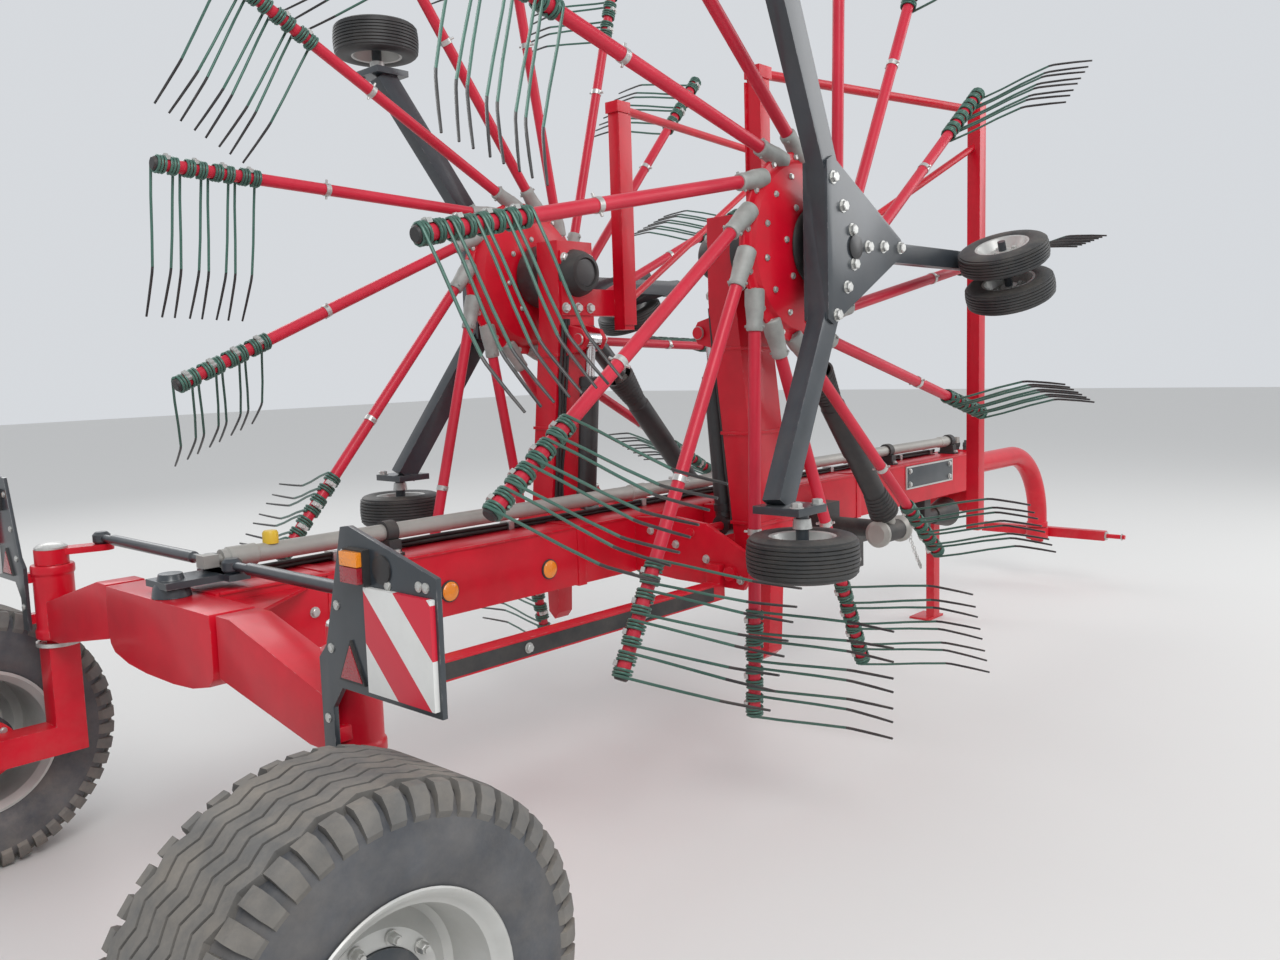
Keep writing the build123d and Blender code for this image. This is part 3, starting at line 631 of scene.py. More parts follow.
# %% [markdown]
# ## Road wheels
# The towed machine runs on broad low tyres: a smooth carcass, zigzag ribs round the
# tread and square lugs on the shoulders. The ribs are rings whose edges swing from side
# to side; the lugs are one block copied round by the ring tree.

# %% Road tyre
RIB_STEPS = 132


def zigzag_rib(centre, width, swing, low, high):
    """A ring whose two edges swing from side to side."""
    corners, faces = [], []
    for k in range(RIB_STEPS):
        a = 2 * pi * k / RIB_STEPS
        phase = k % 4
        shift = swing * (0.0, 1.0, 0.0, -1.0)[phase]
        for r, h in ((low, -0.5), (high, -0.44), (high, 0.44), (low, 0.5)):
            corners.append((r * cos(a), r * sin(a), centre + shift + h * width))
    for k in range(RIB_STEPS):
        m = (k + 1) % RIB_STEPS
        for i in range(4):
            j = (i + 1) % 4
            faces.append((4 * k + i, 4 * m + i, 4 * m + j, 4 * k + j))
    return corners, faces


carcass_half = [(0.214, 0.140), (0.222, 0.156), (0.240, 0.166), (0.262, 0.172), (0.266, 0.1745),
                (0.290, 0.1775), (0.320, 0.1790), (0.326, 0.1775), (0.350, 0.1750), (0.372, 0.1690),
                (0.392, 0.1570), (0.404, 0.1400), (0.410, 0.1200), (0.4115, 0.0600)]
carcass = carcass_half + [(0.4125, 0.0)] + [(r, -h) for r, h in reversed(carcass_half)]
carcass += [(0.208, -0.10), (0.208, 0.10)]
wall = Shape().put(turned(carcass, 88))
tread = Shape()
for centre in (-0.104, -0.0624, -0.0208, 0.0208, 0.0624, 0.104):
    tread.put(zigzag_rib(centre, 0.0385, 0.0085, 0.405, 0.4235))
lug = [(0.0, -0.0175, 0.130), (0.0, 0.0175, 0.130), (-0.002, 0.0180, 0.153), (-0.002, -0.0180, 0.153),
       (-0.020, 0.0180, 0.1685), (-0.020, -0.0180, 0.1685), (-0.048, 0.0155, 0.1765),
       (-0.048, -0.0155, 0.1765)]
lug += [(x - 0.016, y, h - 0.006) for x, y, h in lug]
lug_faces = [(0, 1, 2, 3), (3, 2, 4, 5), (5, 4, 6, 7), (8, 11, 10, 9), (11, 13, 12, 10), (13, 15, 14, 12),
             (0, 8, 9, 1), (6, 14, 15, 7), (1, 9, 10, 2), (2, 10, 12, 4), (4, 12, 14, 6),
             (0, 3, 11, 8), (3, 5, 13, 11), (5, 7, 15, 13)]
lugs = ring_of((lug, lug_faces), 48, 0.4215, 0.0, tyre_rubber)
tread.put(lugs).put(([(x, y, -z) for x, y, z in lugs[0]], lugs[1]))
print("tyre corners", len(wall.corners) + len(tread.corners))

# %% [markdown]
# The rim is one turned section: a rolled outer flange, the well and a dished disc. The
# hub in its middle is darker and carries a ring of nuts.

# %% Rim and hub
rim = Shape().put(turned([
    (0.232, 0.1600), (0.238, 0.1640), (0.241, 0.1700), (0.238, 0.1735), (0.229, 0.1700), (0.219, 0.1560),
    (0.206, 0.1480), (0.198, 0.1200), (0.190, 0.0950), (0.186, 0.0560), (0.172, 0.0440), (0.150, 0.0560),
    (0.138, 0.0700), (0.108, 0.0740), (0.105, 0.0740), (0.105, 0.0640), (0.140, 0.0580), (0.165, 0.0300),
    (0.196, 0.0400), (0.200, -0.1000), (0.212, -0.1480), (0.236, -0.1700), (0.226, -0.1740),
    (0.206, -0.1560), (0.214, -0.1400), (0.2145, 0.1400), (0.222, 0.1500)], 72))
hub = Shape().put(turned([
    (0.0, -0.2000), (0.060, -0.2000), (0.100, -0.1900), (0.104, 0.0500), (0.104, 0.0800), (0.090, 0.0860),
    (0.074, 0.0880), (0.068, 0.1080), (0.060, 0.1140), (0.0, 0.1140)], 40, False))
nut = Shape().put(turned([(0.0, 0.0), (0.014, 0.0), (0.014, 0.004), (0.0, 0.004)], 12, False))
nut.put(turned([(0.0, 0.003), (0.0115, 0.003), (0.0115, 0.017), (0.0090, 0.020), (0.0, 0.020)], 6, False))
nut.put(turned([(0.0, 0.018), (0.0065, 0.018), (0.0065, 0.026), (0.0, 0.026)], 8, False))
nut_ring = ring_of(made_of(nut), 10, 0.122)
for side, name in SIDES.items():
    turn_out = frame_at(at(0, side * WHEEL_Y, TYRE_R), (0, side, 0), (1, 0, 0))
    body = "wheel_" + name
    finish_piece("road_tyre_" + name, Shape().put(made_of(wall), turn_out), wall_rubber, body,
                 ("tyre_" + name,), angle=30)
    finish_piece("road_tread_" + name, Shape().put(made_of(tread), turn_out), tyre_rubber, body, (),
                 angle=30)
    finish_piece("rim_disc_" + name, Shape().put(made_of(rim), turn_out), silver, body, ("rim_" + name,),
                 angle=35)
    finish_piece("wheel_hub_" + name, Shape().put(made_of(hub), turn_out), graphite, body, (),
                 angle=30)
    lift = Matrix.Translation((0, 0, 0.073))
    finish_piece("wheel_nuts_" + name, Shape().put(nut_ring, turn_out @ lift), zinc, body, ())
print("road wheels done")

# %% [markdown]
# The eight small wheels that carry the rotors at work are ribbed tyres on pale rims. All
# share one turned section; only the width and the place differ. The twin castor wheels
# trail on a slanting axle, so their axis is worked out from the fork's angle.


# %% Small wheels
def small_wheel(half, ribs):
    """A ribbed tyre and its rim, axle along z."""
    tread = []
    face = half * 0.74
    for k in range(ribs):
        middle = -face + 2 * face * (k + 0.5) / ribs
        w = face / ribs
        crown = SMALL_R - 0.001 - 0.005 * (middle / face) ** 2
        tread += [(crown - 0.005, middle - w), (crown, middle - w * 0.66), (crown, middle + w * 0.66)]
    tread.append((SMALL_R - 0.011, face))
    wall = [(0.093, 0.80), (0.106, 0.95), (0.122, 1.0), (0.140, 0.985), (0.153, 0.92), (0.161, 0.83)]
    tyre = [(r, -half * h) for r, h in wall] + tread + [(r, half * h) for r, h in reversed(wall)]
    rim = [(0.0, -0.42), (0.031, -0.42), (0.034, -0.20), (0.0705, -0.12), (0.086, -0.60), (0.093, -0.86),
           (0.102, -0.90), (0.102, -0.80), (0.091, -0.70)]
    rim = [(r, half * h) for r, h in rim + [(r, -h) for r, h in reversed(rim)]]
    return turned(tyre, 56), turned(rim, 40, False)


CASTOR_ANGLE, CASTOR_TRAIL, CASTOR_X = 25.0, 0.15, 3.26
guide_bolts = ring_of(bolt_head(0.017, 0.009), 5, 0.052)
back = Vector((-cos(radians(CASTOR_ANGLE)), 0, -sin(radians(CASTOR_ANGLE))))
across = Vector((-sin(radians(CASTOR_ANGLE)), 0, cos(radians(CASTOR_ANGLE))))
for side, name in SIDES.items():
    places = [("guide_low_" + name, "guide_wheel_low_" + name, SMALL_HALF, 8,
               at(GUIDE_X, side * GUIDE_Y, GUIDE_DROP), Vector((0, 0, 1))),
              ("guide_high_" + name, "guide_wheel_high_" + name, SMALL_HALF, 8,
               at(GUIDE_X, side * GUIDE_Y, 2 * HUB_Z - GUIDE_DROP), Vector((0, 0, 1)))]
    middle = at(CASTOR_X, side * GUIDE_Y, HUB_Z) + back * CASTOR_TRAIL
    for k in (-1, 1):
        places.append(("castor_pair_" + name, "castor_wheels_" + name, 0.046, 6,
                       middle + across * (k * 0.073), across))
    for k, (body, node, half, ribs, centre, axis) in enumerate(places):
        tyre, disc = small_wheel(half, ribs)
        stand = frame_at(centre, axis)
        finish_piece(f"small_tyre_{name}_{k}", Shape().put(tyre, stand), small_rubber, body, (node,),
                     angle=32)
        dressed = Shape().put(disc, stand)
        for flip in (0, pi):
            dressed.put(guide_bolts,
                        stand @ Matrix.Rotation(flip, 4, "X") @ Matrix.Translation((0, 0, half * 0.17)))
        finish_piece(f"small_rim_{name}_{k}", dressed, silver, body, (), angle=35)
print("small wheels done")

# %% [markdown]
# ## Rotors
# Each rotor is a dished drum of pressed plate, bolted round its rim, with a cast socket
# for every arm. The arms don't point at the axis: their lines pass a quarter of a metre
# beside it, which sweeps them all the same way. Arms, sockets and tines are built once
# in an arm's own frame, with x along the arm, and set fourteen times a side.


# %% Where an arm stands
ROLL_REST, ROLL_RISE = 15.0, 75.0  # the cam's smallest roll, and what it adds at the most
ROLL_PEAK, ROLL_SPAN = 165.0, 75.0  # where it adds most, and how far to either side it acts


def arm_place(side, angle):
    """The matrix of one arm's frame, on either side of the machine."""
    a = radians(angle)
    along = Vector((cos(a), 0, sin(a)))
    over = Vector((-sin(a), 0, cos(a)))
    off = (angle - ROLL_PEAK + 180.0) % 360.0 - 180.0
    roll = ROLL_REST
    if abs(off) <= ROLL_SPAN:
        roll = ROLL_REST + ROLL_RISE * (0.5 + 0.5 * cos(radians(180.0 * off / ROLL_SPAN)))
    down = Vector((0, 1, 0)) * cos(radians(roll)) + over * sin(radians(roll))
    z = -down
    y = z.cross(along)
    rows = Matrix((along, y, z)).transposed().to_4x4()
    rows.translation = at(HUB_X, ARM_Y, HUB_Z) - over * ARM_OFFSET
    flip = Matrix.Scale(-1, 4, (0, 1, 0)) if side < 0 else Matrix.Identity(4)
    return flip @ rows


def arm_places(side):
    return [arm_place(side, PHASE[side] + 360.0 * k / ARM_COUNT) for k in range(ARM_COUNT)]


# %% Drum, sockets and their bolts
DRUM_STEPS = 4 * ARM_COUNT
drum_profile = [
    (0.052, 0.735), (0.104, 0.745), (0.114, 0.760), (0.128, 0.764), (0.165, 0.761), (0.220, 0.751),
    (0.262, 0.738), (0.280, 0.727), (0.288, 0.714), (0.298, 0.710), (0.320, 0.708), (0.324, 0.705),
    (0.324, 0.697), (0.320, 0.694), (0.298, 0.692), (0.288, 0.688), (0.280, 0.668), (0.262, 0.645),
    (0.200, 0.621), (0.140, 0.613), (0.110, 0.613), (0.052, 0.614),
]


def scalloped(profile):
    """The drum's section turned round, drawn in a little between the sockets."""
    corners, faces = turned(profile, DRUM_STEPS)
    n = len(profile)
    pulled = []
    for i, (x, y, z) in enumerate(corners):
        k = (i // n) % 4
        r = sqrt(x * x + y * y)
        ease = (1.0, 0.993, 0.985, 0.993)[k] if r > 0.29 else 1.0
        pulled.append((x * ease, y * ease, z))
    return pulled, faces


socket = Shape().put(turned([(0.0, 0.150), (0.029, 0.150), (0.033, 0.155), (0.033, 0.205), (0.031, 0.214),
                             (0.027, 0.262), (0.0285, 0.267), (0.0285, 0.283), (0.026, 0.287),
                             (0.0, 0.287)], 20, False),
                     frame_at((0, 0, 0), (1, 0, 0)))
socket.put(bar([(0.272, 0, -0.034), (0.272, 0, 0.034)], 0.005, 8))
rim_bolt = bolt_head(0.016, 0.008)
for side, name in SIDES.items():
    body = "rotor_" + name
    axis = frame_at(at(HUB_X, 0, HUB_Z), (0, side, 0), (1, 0, 0))
    drum = Shape()
    first = radians(PHASE[side] - 52.0) * -side
    drum.put(scalloped(drum_profile), axis @ Matrix.Rotation(first, 4, "Z"))
    finish_piece("drum_shell_" + name, drum, red, body, ("rotor_drum_" + name,), soft=0.0,
                 angle=24)
    sockets = Shape()
    for place in arm_places(side):
        sockets.put(made_of(socket), place)
    finish_piece("arm_sockets_" + name, sockets, cast, body, (), angle=35)
    bolts = Shape()
    for turn_by, radius, level, count in ((0.11, 0.303, 0.7085, 28), (0.0, 0.246, 0.742, 14),
                                          (0.05, 0.158, 0.7605, 8)):
        bolts.put(ring_of(rim_bolt, count, radius, first + turn_by),
                  axis @ Matrix.Translation((0, 0, level)))
    under = axis @ Matrix.Rotation(pi, 4, "X")
    for turn_by, radius, level, count in ((0.11, 0.303, 0.6930, 28), (0.1, 0.16, 0.615, 8)):
        bolts.put(ring_of(rim_bolt, count, radius, turn_by - first),
                  under @ Matrix.Translation((0, 0, -level)))
    finish_piece("drum_bolts_" + name, bolts, zinc, body, ())
print("drums done")

# %% [markdown]
# A tine arm is a red tube with a black plug in its end. Four double tines are wound on
# it: each is one green wire that comes down one leg, winds round the tube, passes a
# clamp in its middle, winds on and goes down the other leg. The legs draw together
# towards their tips and kick forward near the end.

# %% Arm tube, clips and clamps
BARE = ARM_END - 0.005 - TINES * TINE_PITCH + (TINE_PITCH - TINE_SPREAD - WIRE)
tube = Shape().put(bar([(0.275, 0, 0), (0.60, 0, 0), (1.0, 0, 0), (ARM_END - 0.004, 0, 0)], 0.021, 16))
plug = Shape().put(turned([(0.0, 1.560), (0.0225, 1.560), (0.0225, 1.574), (0.018, 1.5798), (0.0, 1.5798)],
                          16, False), frame_at((0, 0, 0), (1, 0, 0)))
clip = Shape()
clip.put(turned([(0.020, 0.940), (0.0235, 0.940), (0.0235, 0.960), (0.020, 0.960)], 16),
         frame_at((0, 0, 0), (1, 0, 0)))
clip.put(bar([(0.950, 0.000, -0.034), (0.950, 0.0, 0.036)], 0.0045, 8))
clamp = Shape()
for j in range(TINES):
    middle = BARE + j * TINE_PITCH + (TINE_SPREAD + WIRE) / 2
    outline = [(middle - 0.008, -0.019), (middle + 0.008, -0.019), (middle + 0.008, 0.019),
               (middle - 0.008, 0.019)]
    clamp.put(plate(outline, 0.017, 0.030))
    clamp.put(made_of(Shape().put(bolt_head(0.013, 0.007), Matrix.Translation((middle, 0, 0.030)))))


# %% Coils and wires of the double tines
COIL_R, LEG_LONG = 0.0268, 0.488
wound = grow(helix_tree, {"Turns": 2.75, "Coil Radius": COIL_R, "Length": 0.029, "Wire Radius": WIRE / 2,
                          "Finish": tine_green})
coils = Shape()
uppers = Shape()
lowers = Shape()
LEG = [(0.0, 0.0), (0.10, 0.0015), (0.22, -0.002), (0.325, 0.0), (0.345, 0.004), (0.375, 0.014),
       (0.43, 0.0335), (LEG_LONG, 0.056)]
for j in range(TINES):
    start = BARE + j * TINE_PITCH
    for k, shift in enumerate((WIRE / 2, TINE_SPREAD + WIRE / 2)):
        base_x = start + shift
        inward = 1 if k == 0 else -1
        turn_x = frame_at((base_x, 0, 0), (inward, 0, 0), (0, -1, 0))
        coils.put(wound, turn_x)
        path = [(base_x + inward * 0.010 * (down / LEG_LONG) ** 1.5, -COIL_R - kick, -down)
                for down, kick in LEG]
        lead = [(base_x, -0.0190, 0.0190), (base_x, -0.0250, 0.0095)]
        uppers.put(bar(lead + path[:4], WIRE / 2, 6))
        lowers.put(bar(path[3:], [WIRE / 2, WIRE / 2, WIRE / 2, WIRE / 2 * 0.96, WIRE / 2 * 0.8], 6))
print("one arm's coils", len(coils.faces), "faces")

for side, name in SIDES.items():
    body = "rotor_" + name
    for label, part, material, slot, angle in (
            ("arm_tubes", tube, arm_red, "red_paint", 40),
            ("arm_plugs", plug, plastic, "guard_plastic", 40),
            ("arm_clips", clip, zinc, "grey_steel", 40), ("tine_clamps", clamp, zinc, "grey_steel", 30),
            ("tine_coils", coils, tine_green, "dark_paint", 60),
            ("tine_legs", uppers, tine_green, "dark_paint", 60),
            ("tine_tips", lowers, black, "cylinder_black", 60)):
        whole = Shape()
        for place in arm_places(side):
            whole.put(made_of(part), place)
        finish_piece(f"{label}_{name}", whole, material, body,
                     ("rotor_arms_" + name,) if label == "arm_tubes" else (), angle=angle)
print("arms and tines done")

# %% [markdown]
# ## Frame and booms
# Beams, booms and brackets are welded boxes, so their solids have the right shape
# already. A copy of each gets its loose faces joined and its edges rounded, because a
# real edge always catches a thin line of light.

# %% Softened solids
for node, material, soft in (("main_beam", red, 0.006), ("boom_carrier", red, 0.003),
                             ("side_rails", red, 0.004), ("gear_train", plastic, 0.005),
                             ("warning_posts", graphite, 0.002), ("warning_boards", stripes, 0.0015),
                             ("hitch_head", red, 0.004), ("parking_leg", red, 0.003)):
    softened(node, material, soft)
for name in SIDES.values():
    for node, material, soft in (("knuckle_", red, 0.005), ("boom_", red, 0.005), ("guard_", red, 0.0015),
                                 ("rotor_head_", black, 0.004), ("undercarriage_", graphite, 0.004),
                                 ("castor_fork_", graphite, 0.003), ("lift_barrel_", black, 0.002),
                                 ("lift_rod_", chrome, 0.001)):
        softened(node + name, material, soft)
print("softened solids done")


# %% Shared placing helper
def on_body(name, shape, material, body, covers=(), soft=0.0, angle=35.0):
    """The left shape as it is and its mirror image on the right, on each side's own body."""
    for side, word in SIDES.items():
        part = shape if side > 0 else shape.mirrored()
        finish_piece(name + "_" + word, part, material, body + "_" + word, tuple(c + word for c in covers),
                     soft, angle)


# %% [markdown]
# The rear arch is three boxes: a deep middle one with rounded lower corners, and an arm
# each side that falls towards its kingpin. A narrow seam shows where they meet, and the
# kingpins turn in upright housings at the arms' ends.


# %% Rear arch
def upright(outline, x0, x1):
    """A plate standing across the machine, its outline given in y and z."""
    n = len(outline)
    corners = [(AXLE_X + x, y, z) for x in (x0, x1) for y, z in outline]
    faces = [tuple(range(n)), tuple(reversed(range(n, 2 * n)))]
    faces += [(k, n + k, n + (k + 1) % n, (k + 1) % n) for k in range(n)]
    return corners, faces


middle_half = [(0.302, 0.984), (0.308, 0.940), (0.308, 0.850), (0.300, 0.820), (0.276, 0.799),
               (0.19, 0.780), (0.08, 0.772)]
whole = middle_half + [(-y, z) for y, z in reversed(middle_half)]
arch = Shape().put(upright(whole, 0.170, 0.292))
for side in (-1, 1):
    arm = [(0.322, 0.984), (0.390, 0.984), (0.800, 0.872), (0.800, 0.752), (0.720, 0.752), (0.322, 0.828)]
    arch.put(upright([(side * y, z) for y, z in arm], 0.178, 0.288))
    arch.put(slab(0.190, 0.276, side * 0.28, side * 0.34, 0.835, 0.972))
    for z in (0.815, 0.945):
        arch.put(slab(0.1495, 0.186, side * 0.853, side * 0.885, z - 0.016, z + 0.016))
    arch.put(turned([(0.0335, 0.750), (0.062, 0.750), (0.064, 0.756), (0.064, 0.776), (0.059, 0.782),
                     (0.059, 0.952), (0.064, 0.958), (0.064, 0.978), (0.062, 0.984), (0.0335, 0.984)], 36),
             Matrix.Translation(at(KINGPIN_X, side * KINGPIN_Y, 0)))
finish_piece("arch_boxes", arch, red, "chassis", ("rear_arch",), soft=0.004, angle=30)
print("arch done")

# %% [markdown]
# The steering tube carries the tractor's turn back to the rear axle. It is a long grey
# tube in black clamps, with a clevis and a threaded eye at each end. The dark tie rods
# below it end in ball joints on the steering levers.

# %% Steering tube and clamps
tube = Shape()
tube.put(bar([at(0.36, 0, TUBE_Z), at(2.0, 0, TUBE_Z), at(3.6, 0, TUBE_Z), at(4.74, 0, TUBE_Z)], 0.026, 20))
for x in (0.42, 2.05, 3.62, 4.62):
    tube.put(turned([(0.024, -0.045), (0.030, -0.040), (0.030, 0.040), (0.024, 0.045)], 24),
             frame_at(at(x, 0, TUBE_Z), (1, 0, 0)))
for x0, x1 in ((0.305, 0.37), (4.73, 4.795)):
    tube.put(bar([at(x0, 0, TUBE_Z), at(x1, 0, TUBE_Z)], 0.014, 12))
tube.put(slab(0.302, 0.345, -0.022, 0.022, 1.045, 1.079))
tube.put(slab(4.765, 4.799, -0.022, 0.022, 1.045, 1.079))
finish_piece("steering_tube_dressed", tube, tube_grey, "chassis", ("steering_tube",),
             angle=35)
saddles = Shape()
saddle_marks = []
for x in (0.90, 2.90, 4.0, 4.7):
    saddles.put(slab(x - 0.026, x + 0.026, -0.050, 0.050, 0.990, 1.000))
    saddles.put(slab(x - 0.022, x + 0.022, -0.040, 0.040, 1.000, 1.040))
    band = [(0.0255, -0.020), (0.036, -0.020), (0.036, 0.020), (0.0255, 0.020)]
    saddles.put(turned(band, 28), frame_at(at(x, 0, TUBE_Z), (1, 0, 0)))
    saddle_marks += [(at(x, y, 1.000), (0, 0, 1)) for y in (-0.044, 0.044)]
finish_piece("tube_clamps", saddles, plastic, "chassis", (), soft=0.001, angle=35)

# %% Tie rods and crank
ties = Shape()
ties.put(slab(0.18, 0.41, -0.060, 0.060, 1.012, 1.030))
ties.put(slab(0.335, 0.395, -0.092, 0.092, 1.012, 1.030))
ties.put(turned([(0.0, 0.985), (0.050, 0.985), (0.046, 1.010), (0.034, 1.032), (0.030, 1.046),
                 (0.0, 1.048)], 28, False),
         Matrix.Translation(at(0.22, 0, 0)))
for side in (-1, 1):
    inner, outer = at(0.36, side * 0.062, 1.051), at(0.36, side * 0.80, 1.051)
    ties.put(bar([inner, inner + (outer - inner) * 0.12, inner + (outer - inner) * 0.13,
                  outer - (outer - inner) * 0.13, outer - (outer - inner) * 0.12, outer],
                 [0.012, 0.012, 0.017, 0.017, 0.012, 0.012], 14))
    for end in (inner, outer):
        ball = [(0.0, -0.020), (0.020, -0.020), (0.027, -0.012), (0.027, 0.010), (0.018, 0.019),
                (0.0, 0.019)]
        ties.put(turned(ball, 20, False), Matrix.Translation(end))
finish_piece("tie_rods_dressed", ties, graphite, "chassis", ("tie_rods",), soft=0.0, angle=32)

# %% [markdown]
# Small welded and bolted items break up the bare plates: bands round the beam, gussets
# between beam and arch, a blank dark plate near the front, dark strips on the side rails
# and bolt rows on the boom carrier. Without them a beam reads as a toy block.

# %% Welded items on the chassis
extras = Shape()
for x0, x1 in ((0.62, 0.66), (1.62, 1.66), (3.52, 3.56)):
    extras.put(slab(x0, x1, -0.104, 0.104, 0.776, 0.994))
for side in (-1, 1):
    for x0, x1, z0, z1 in ((0.30, 1.90, 0.984, 0.992), (2.38, 4.845, 0.984, 0.992)):
        extras.put(slab(x0, x1, side * 0.092, side * 0.106, z0, z1))
    gusset = [(AXLE_X + x, side * y) for x, y in ((0.290, 0.100), (0.56, 0.100), (0.290, 0.30))]
    for low, high in ((0.955, 0.965), (0.795, 0.805)):
        extras.put(plate(gusset, low, high))
extras.put(turned([(0.058, 0.0), (0.070, 0.0), (0.064, 0.010), (0.058, 0.012)], 32),
           frame_at(at(4.880, 0, 0.90), (1, 0, 0)))
extras.put(turned([(0.058, 0.0), (0.066, 0.0), (0.066, 0.030), (0.058, 0.034)], 32),
           frame_at(at(6.0, 0, 0.396), (0, 0, 1)))
finish_piece("chassis_plates", extras, red, "chassis", (), soft=0.0015, angle=32)

blank, rims = Shape(), Shape()
for side in (-1, 1):
    blank.put(slab(4.02, 4.53, side * 0.1005, side * 0.105, 0.868, 0.972))
    for x0, x1, z0, z1 in ((4.012, 4.538, 0.860, 0.868), (4.012, 4.538, 0.972, 0.980),
                           (4.012, 4.020, 0.868, 0.972), (4.530, 4.538, 0.868, 0.972)):
        rims.put(slab(x0, x1, side * 0.1005, side * 0.1065, z0, z1))
finish_piece("blank_plates", blank, graphite, "chassis", (), soft=0.0015)
finish_piece("plate_borders", rims, silver, "chassis", ())

strips = Shape()
for side in (-1, 1):
    strips.put(slab(0.36, 1.86, side * 0.5195, side * 0.5225, 0.732, 0.778))
finish_piece("rail_strips", strips, plastic, "chassis", (), soft=0.002)

# %% Bolts on the chassis
marks = list(saddle_marks)
for side in (-1, 1):
    for x, way in ((1.925, -1), (2.355, 1)):
        for y, z in ((0.18, 0.82), (0.18, 0.94), (0.44, 0.86), (0.30, 0.90), (0.59, 0.80)):
            marks.append((at(x, side * y, z), (way, 0, 0)))
    for x in (4.05, 4.50):
        for z in (0.885, 0.955):
            marks.append((at(x, side * 0.105, z), (0, side, 0)))
    for x in (0.335, 0.575):
        marks.append((at(x, side * 0.100, 0.885), (0, side, 0)))
    for z in (0.68, 0.74, 0.96):
        marks.append((at(4.880, side * 0.075, z), (1, 0, 0)))
    for x in (3.10, 3.20, 3.30, 3.40):
        for z in (0.60, 0.75):
            marks.append((at(x, side * 0.180, z), (0, side, 0)))
    for x in (0.50, 1.0, 1.5):
        marks.append((at(x, side * 0.5215, 0.755), (0, side, 0)))
chassis_bolts = Shape().put(bolts_on(marks, 0.022, 0.011))
finish_piece("chassis_bolts", chassis_bolts, zinc, "chassis", ())
print("bolts on the chassis", len(marks))

# %% Kingpin caps and knuckle bolts
for side, name in SIDES.items():
    caps = Shape()
    caps.put(turned([(0.0, 0.0), (0.048, 0.0), (0.048, 0.006), (0.034, 0.016), (0.0, 0.018)], 24, False),
             Matrix.Translation(at(KINGPIN_X, side * KINGPIN_Y, 1.0325)))
    caps.put(turned([(0.056, 0.0), (0.066, 0.0), (0.066, 0.012), (0.056, 0.012)], 28),
             Matrix.Translation(at(KINGPIN_X, side * KINGPIN_Y, 0.7265)))
    for k in range(8):
        a = 2 * pi * k / 8
        spot = at(0.072 * cos(a), side * 0.915, TYRE_R + 0.072 * sin(a))
        caps.put(bolt_head(0.016, 0.008), frame_at(spot, (0, -side, 0)) @ Matrix.Translation((0, 0, 0.030)))
    finish_piece("kingpin_caps_" + name, caps, zinc, "steer_" + name, ())

# %% [markdown]
# ## Warning gear
# Posts at the back carry the striped boards, a triangle each, round lamps and
# reflectors. A lens is a turned shape in a dark housing, and the triangle is a thin
# plate with a raised border.

# %% Lamps, triangles and amber discs
housings, ambers, reds = Shape(), Shape(), Shape()
lens_profile = [(0.0, 0.0), (0.031, 0.0), (0.031, 0.006), (0.026, 0.010), (0.014, 0.0125), (0.0, 0.013)]
ring_profile = [(0.0, 0.0), (0.035, 0.0), (0.035, 0.005), (0.031, 0.007), (0.0, 0.007)]


def pointed(size, side, x0, x1):
    """A three-cornered plate with its point up, low on the post."""
    tri = [(side * (0.975 + size * y), 0.9767 + size * z)
           for y, z in ((-0.045, -0.0287), (0.045, -0.0287), (0.0, 0.0573))]
    corners = [(AXLE_X + x, y, z) for x in (x0, x1) for y, z in tri]
    return corners, [(0, 1, 2), (3, 5, 4), (0, 3, 4, 1), (1, 4, 5, 2), (2, 5, 3, 0)]


for side in (-1, 1):
    for x in (1.05, 1.48):
        spot, way = at(x, side * 0.1, 0.86), (0, side, 0)
        ambers.put(turned(lens_profile, 28, False), frame_at(spot, way) @ Matrix.Translation((0, 0, 0.002)))
        housings.put(turned(ring_profile, 28, False), frame_at(spot, way))
    housings.put(slab(0.122, 0.138, side * 0.985, side * 1.052, 1.153, 1.222))
    housings.put(turned([(0.0, 0.0), (0.028, 0.0), (0.028, 0.004), (0.022, 0.006), (0.0, 0.006)],
                        28, False),
                 frame_at(at(0.138, side * 1.092, 1.187), (-1, 0, 0)))
    ambers.put(slab(0.1105, 0.124, side * 0.989, side * 1.048, 1.190, 1.218))
    reds.put(slab(0.1105, 0.124, side * 0.989, side * 1.048, 1.157, 1.188))
    housings.put(pointed(1.0, side, 0.1325, 0.138))
    reds.put(pointed(0.82, side, 0.1305, 0.134))
finish_piece("lamp_housings", housings, plastic, "chassis", ("lamps",), soft=0.0)
finish_piece("amber_lenses", ambers, amber, "chassis", (), soft=0.002, angle=50)
finish_piece("red_lenses", reds, red_lens, "chassis", (), soft=0.001, angle=50)
post_marks = []
for side in (-1, 1):
    for y, z in ((0.872, 0.855), (0.899, 1.006), (0.928, 1.098), (0.962, 1.205), (1.108, 1.158),
                 (1.205, 1.168), (1.226, 1.168)):
        post_marks.append((at(0.138, side * y, z), (-1, 0, 0)))
finish_piece("post_rivets", Shape().put(bolts_on(post_marks, 0.014, 0.005)), zinc, "chassis", ())
print("warning gear done")

# %% [markdown]
# ## Booms, drive shafts and running gear
# Each boom ends in the rotor's bearing. A guarded shaft climbs from the gear case to the
# rotor head: smooth black tube between two ribbed bells. Ribs like these are one more
# turned profile.


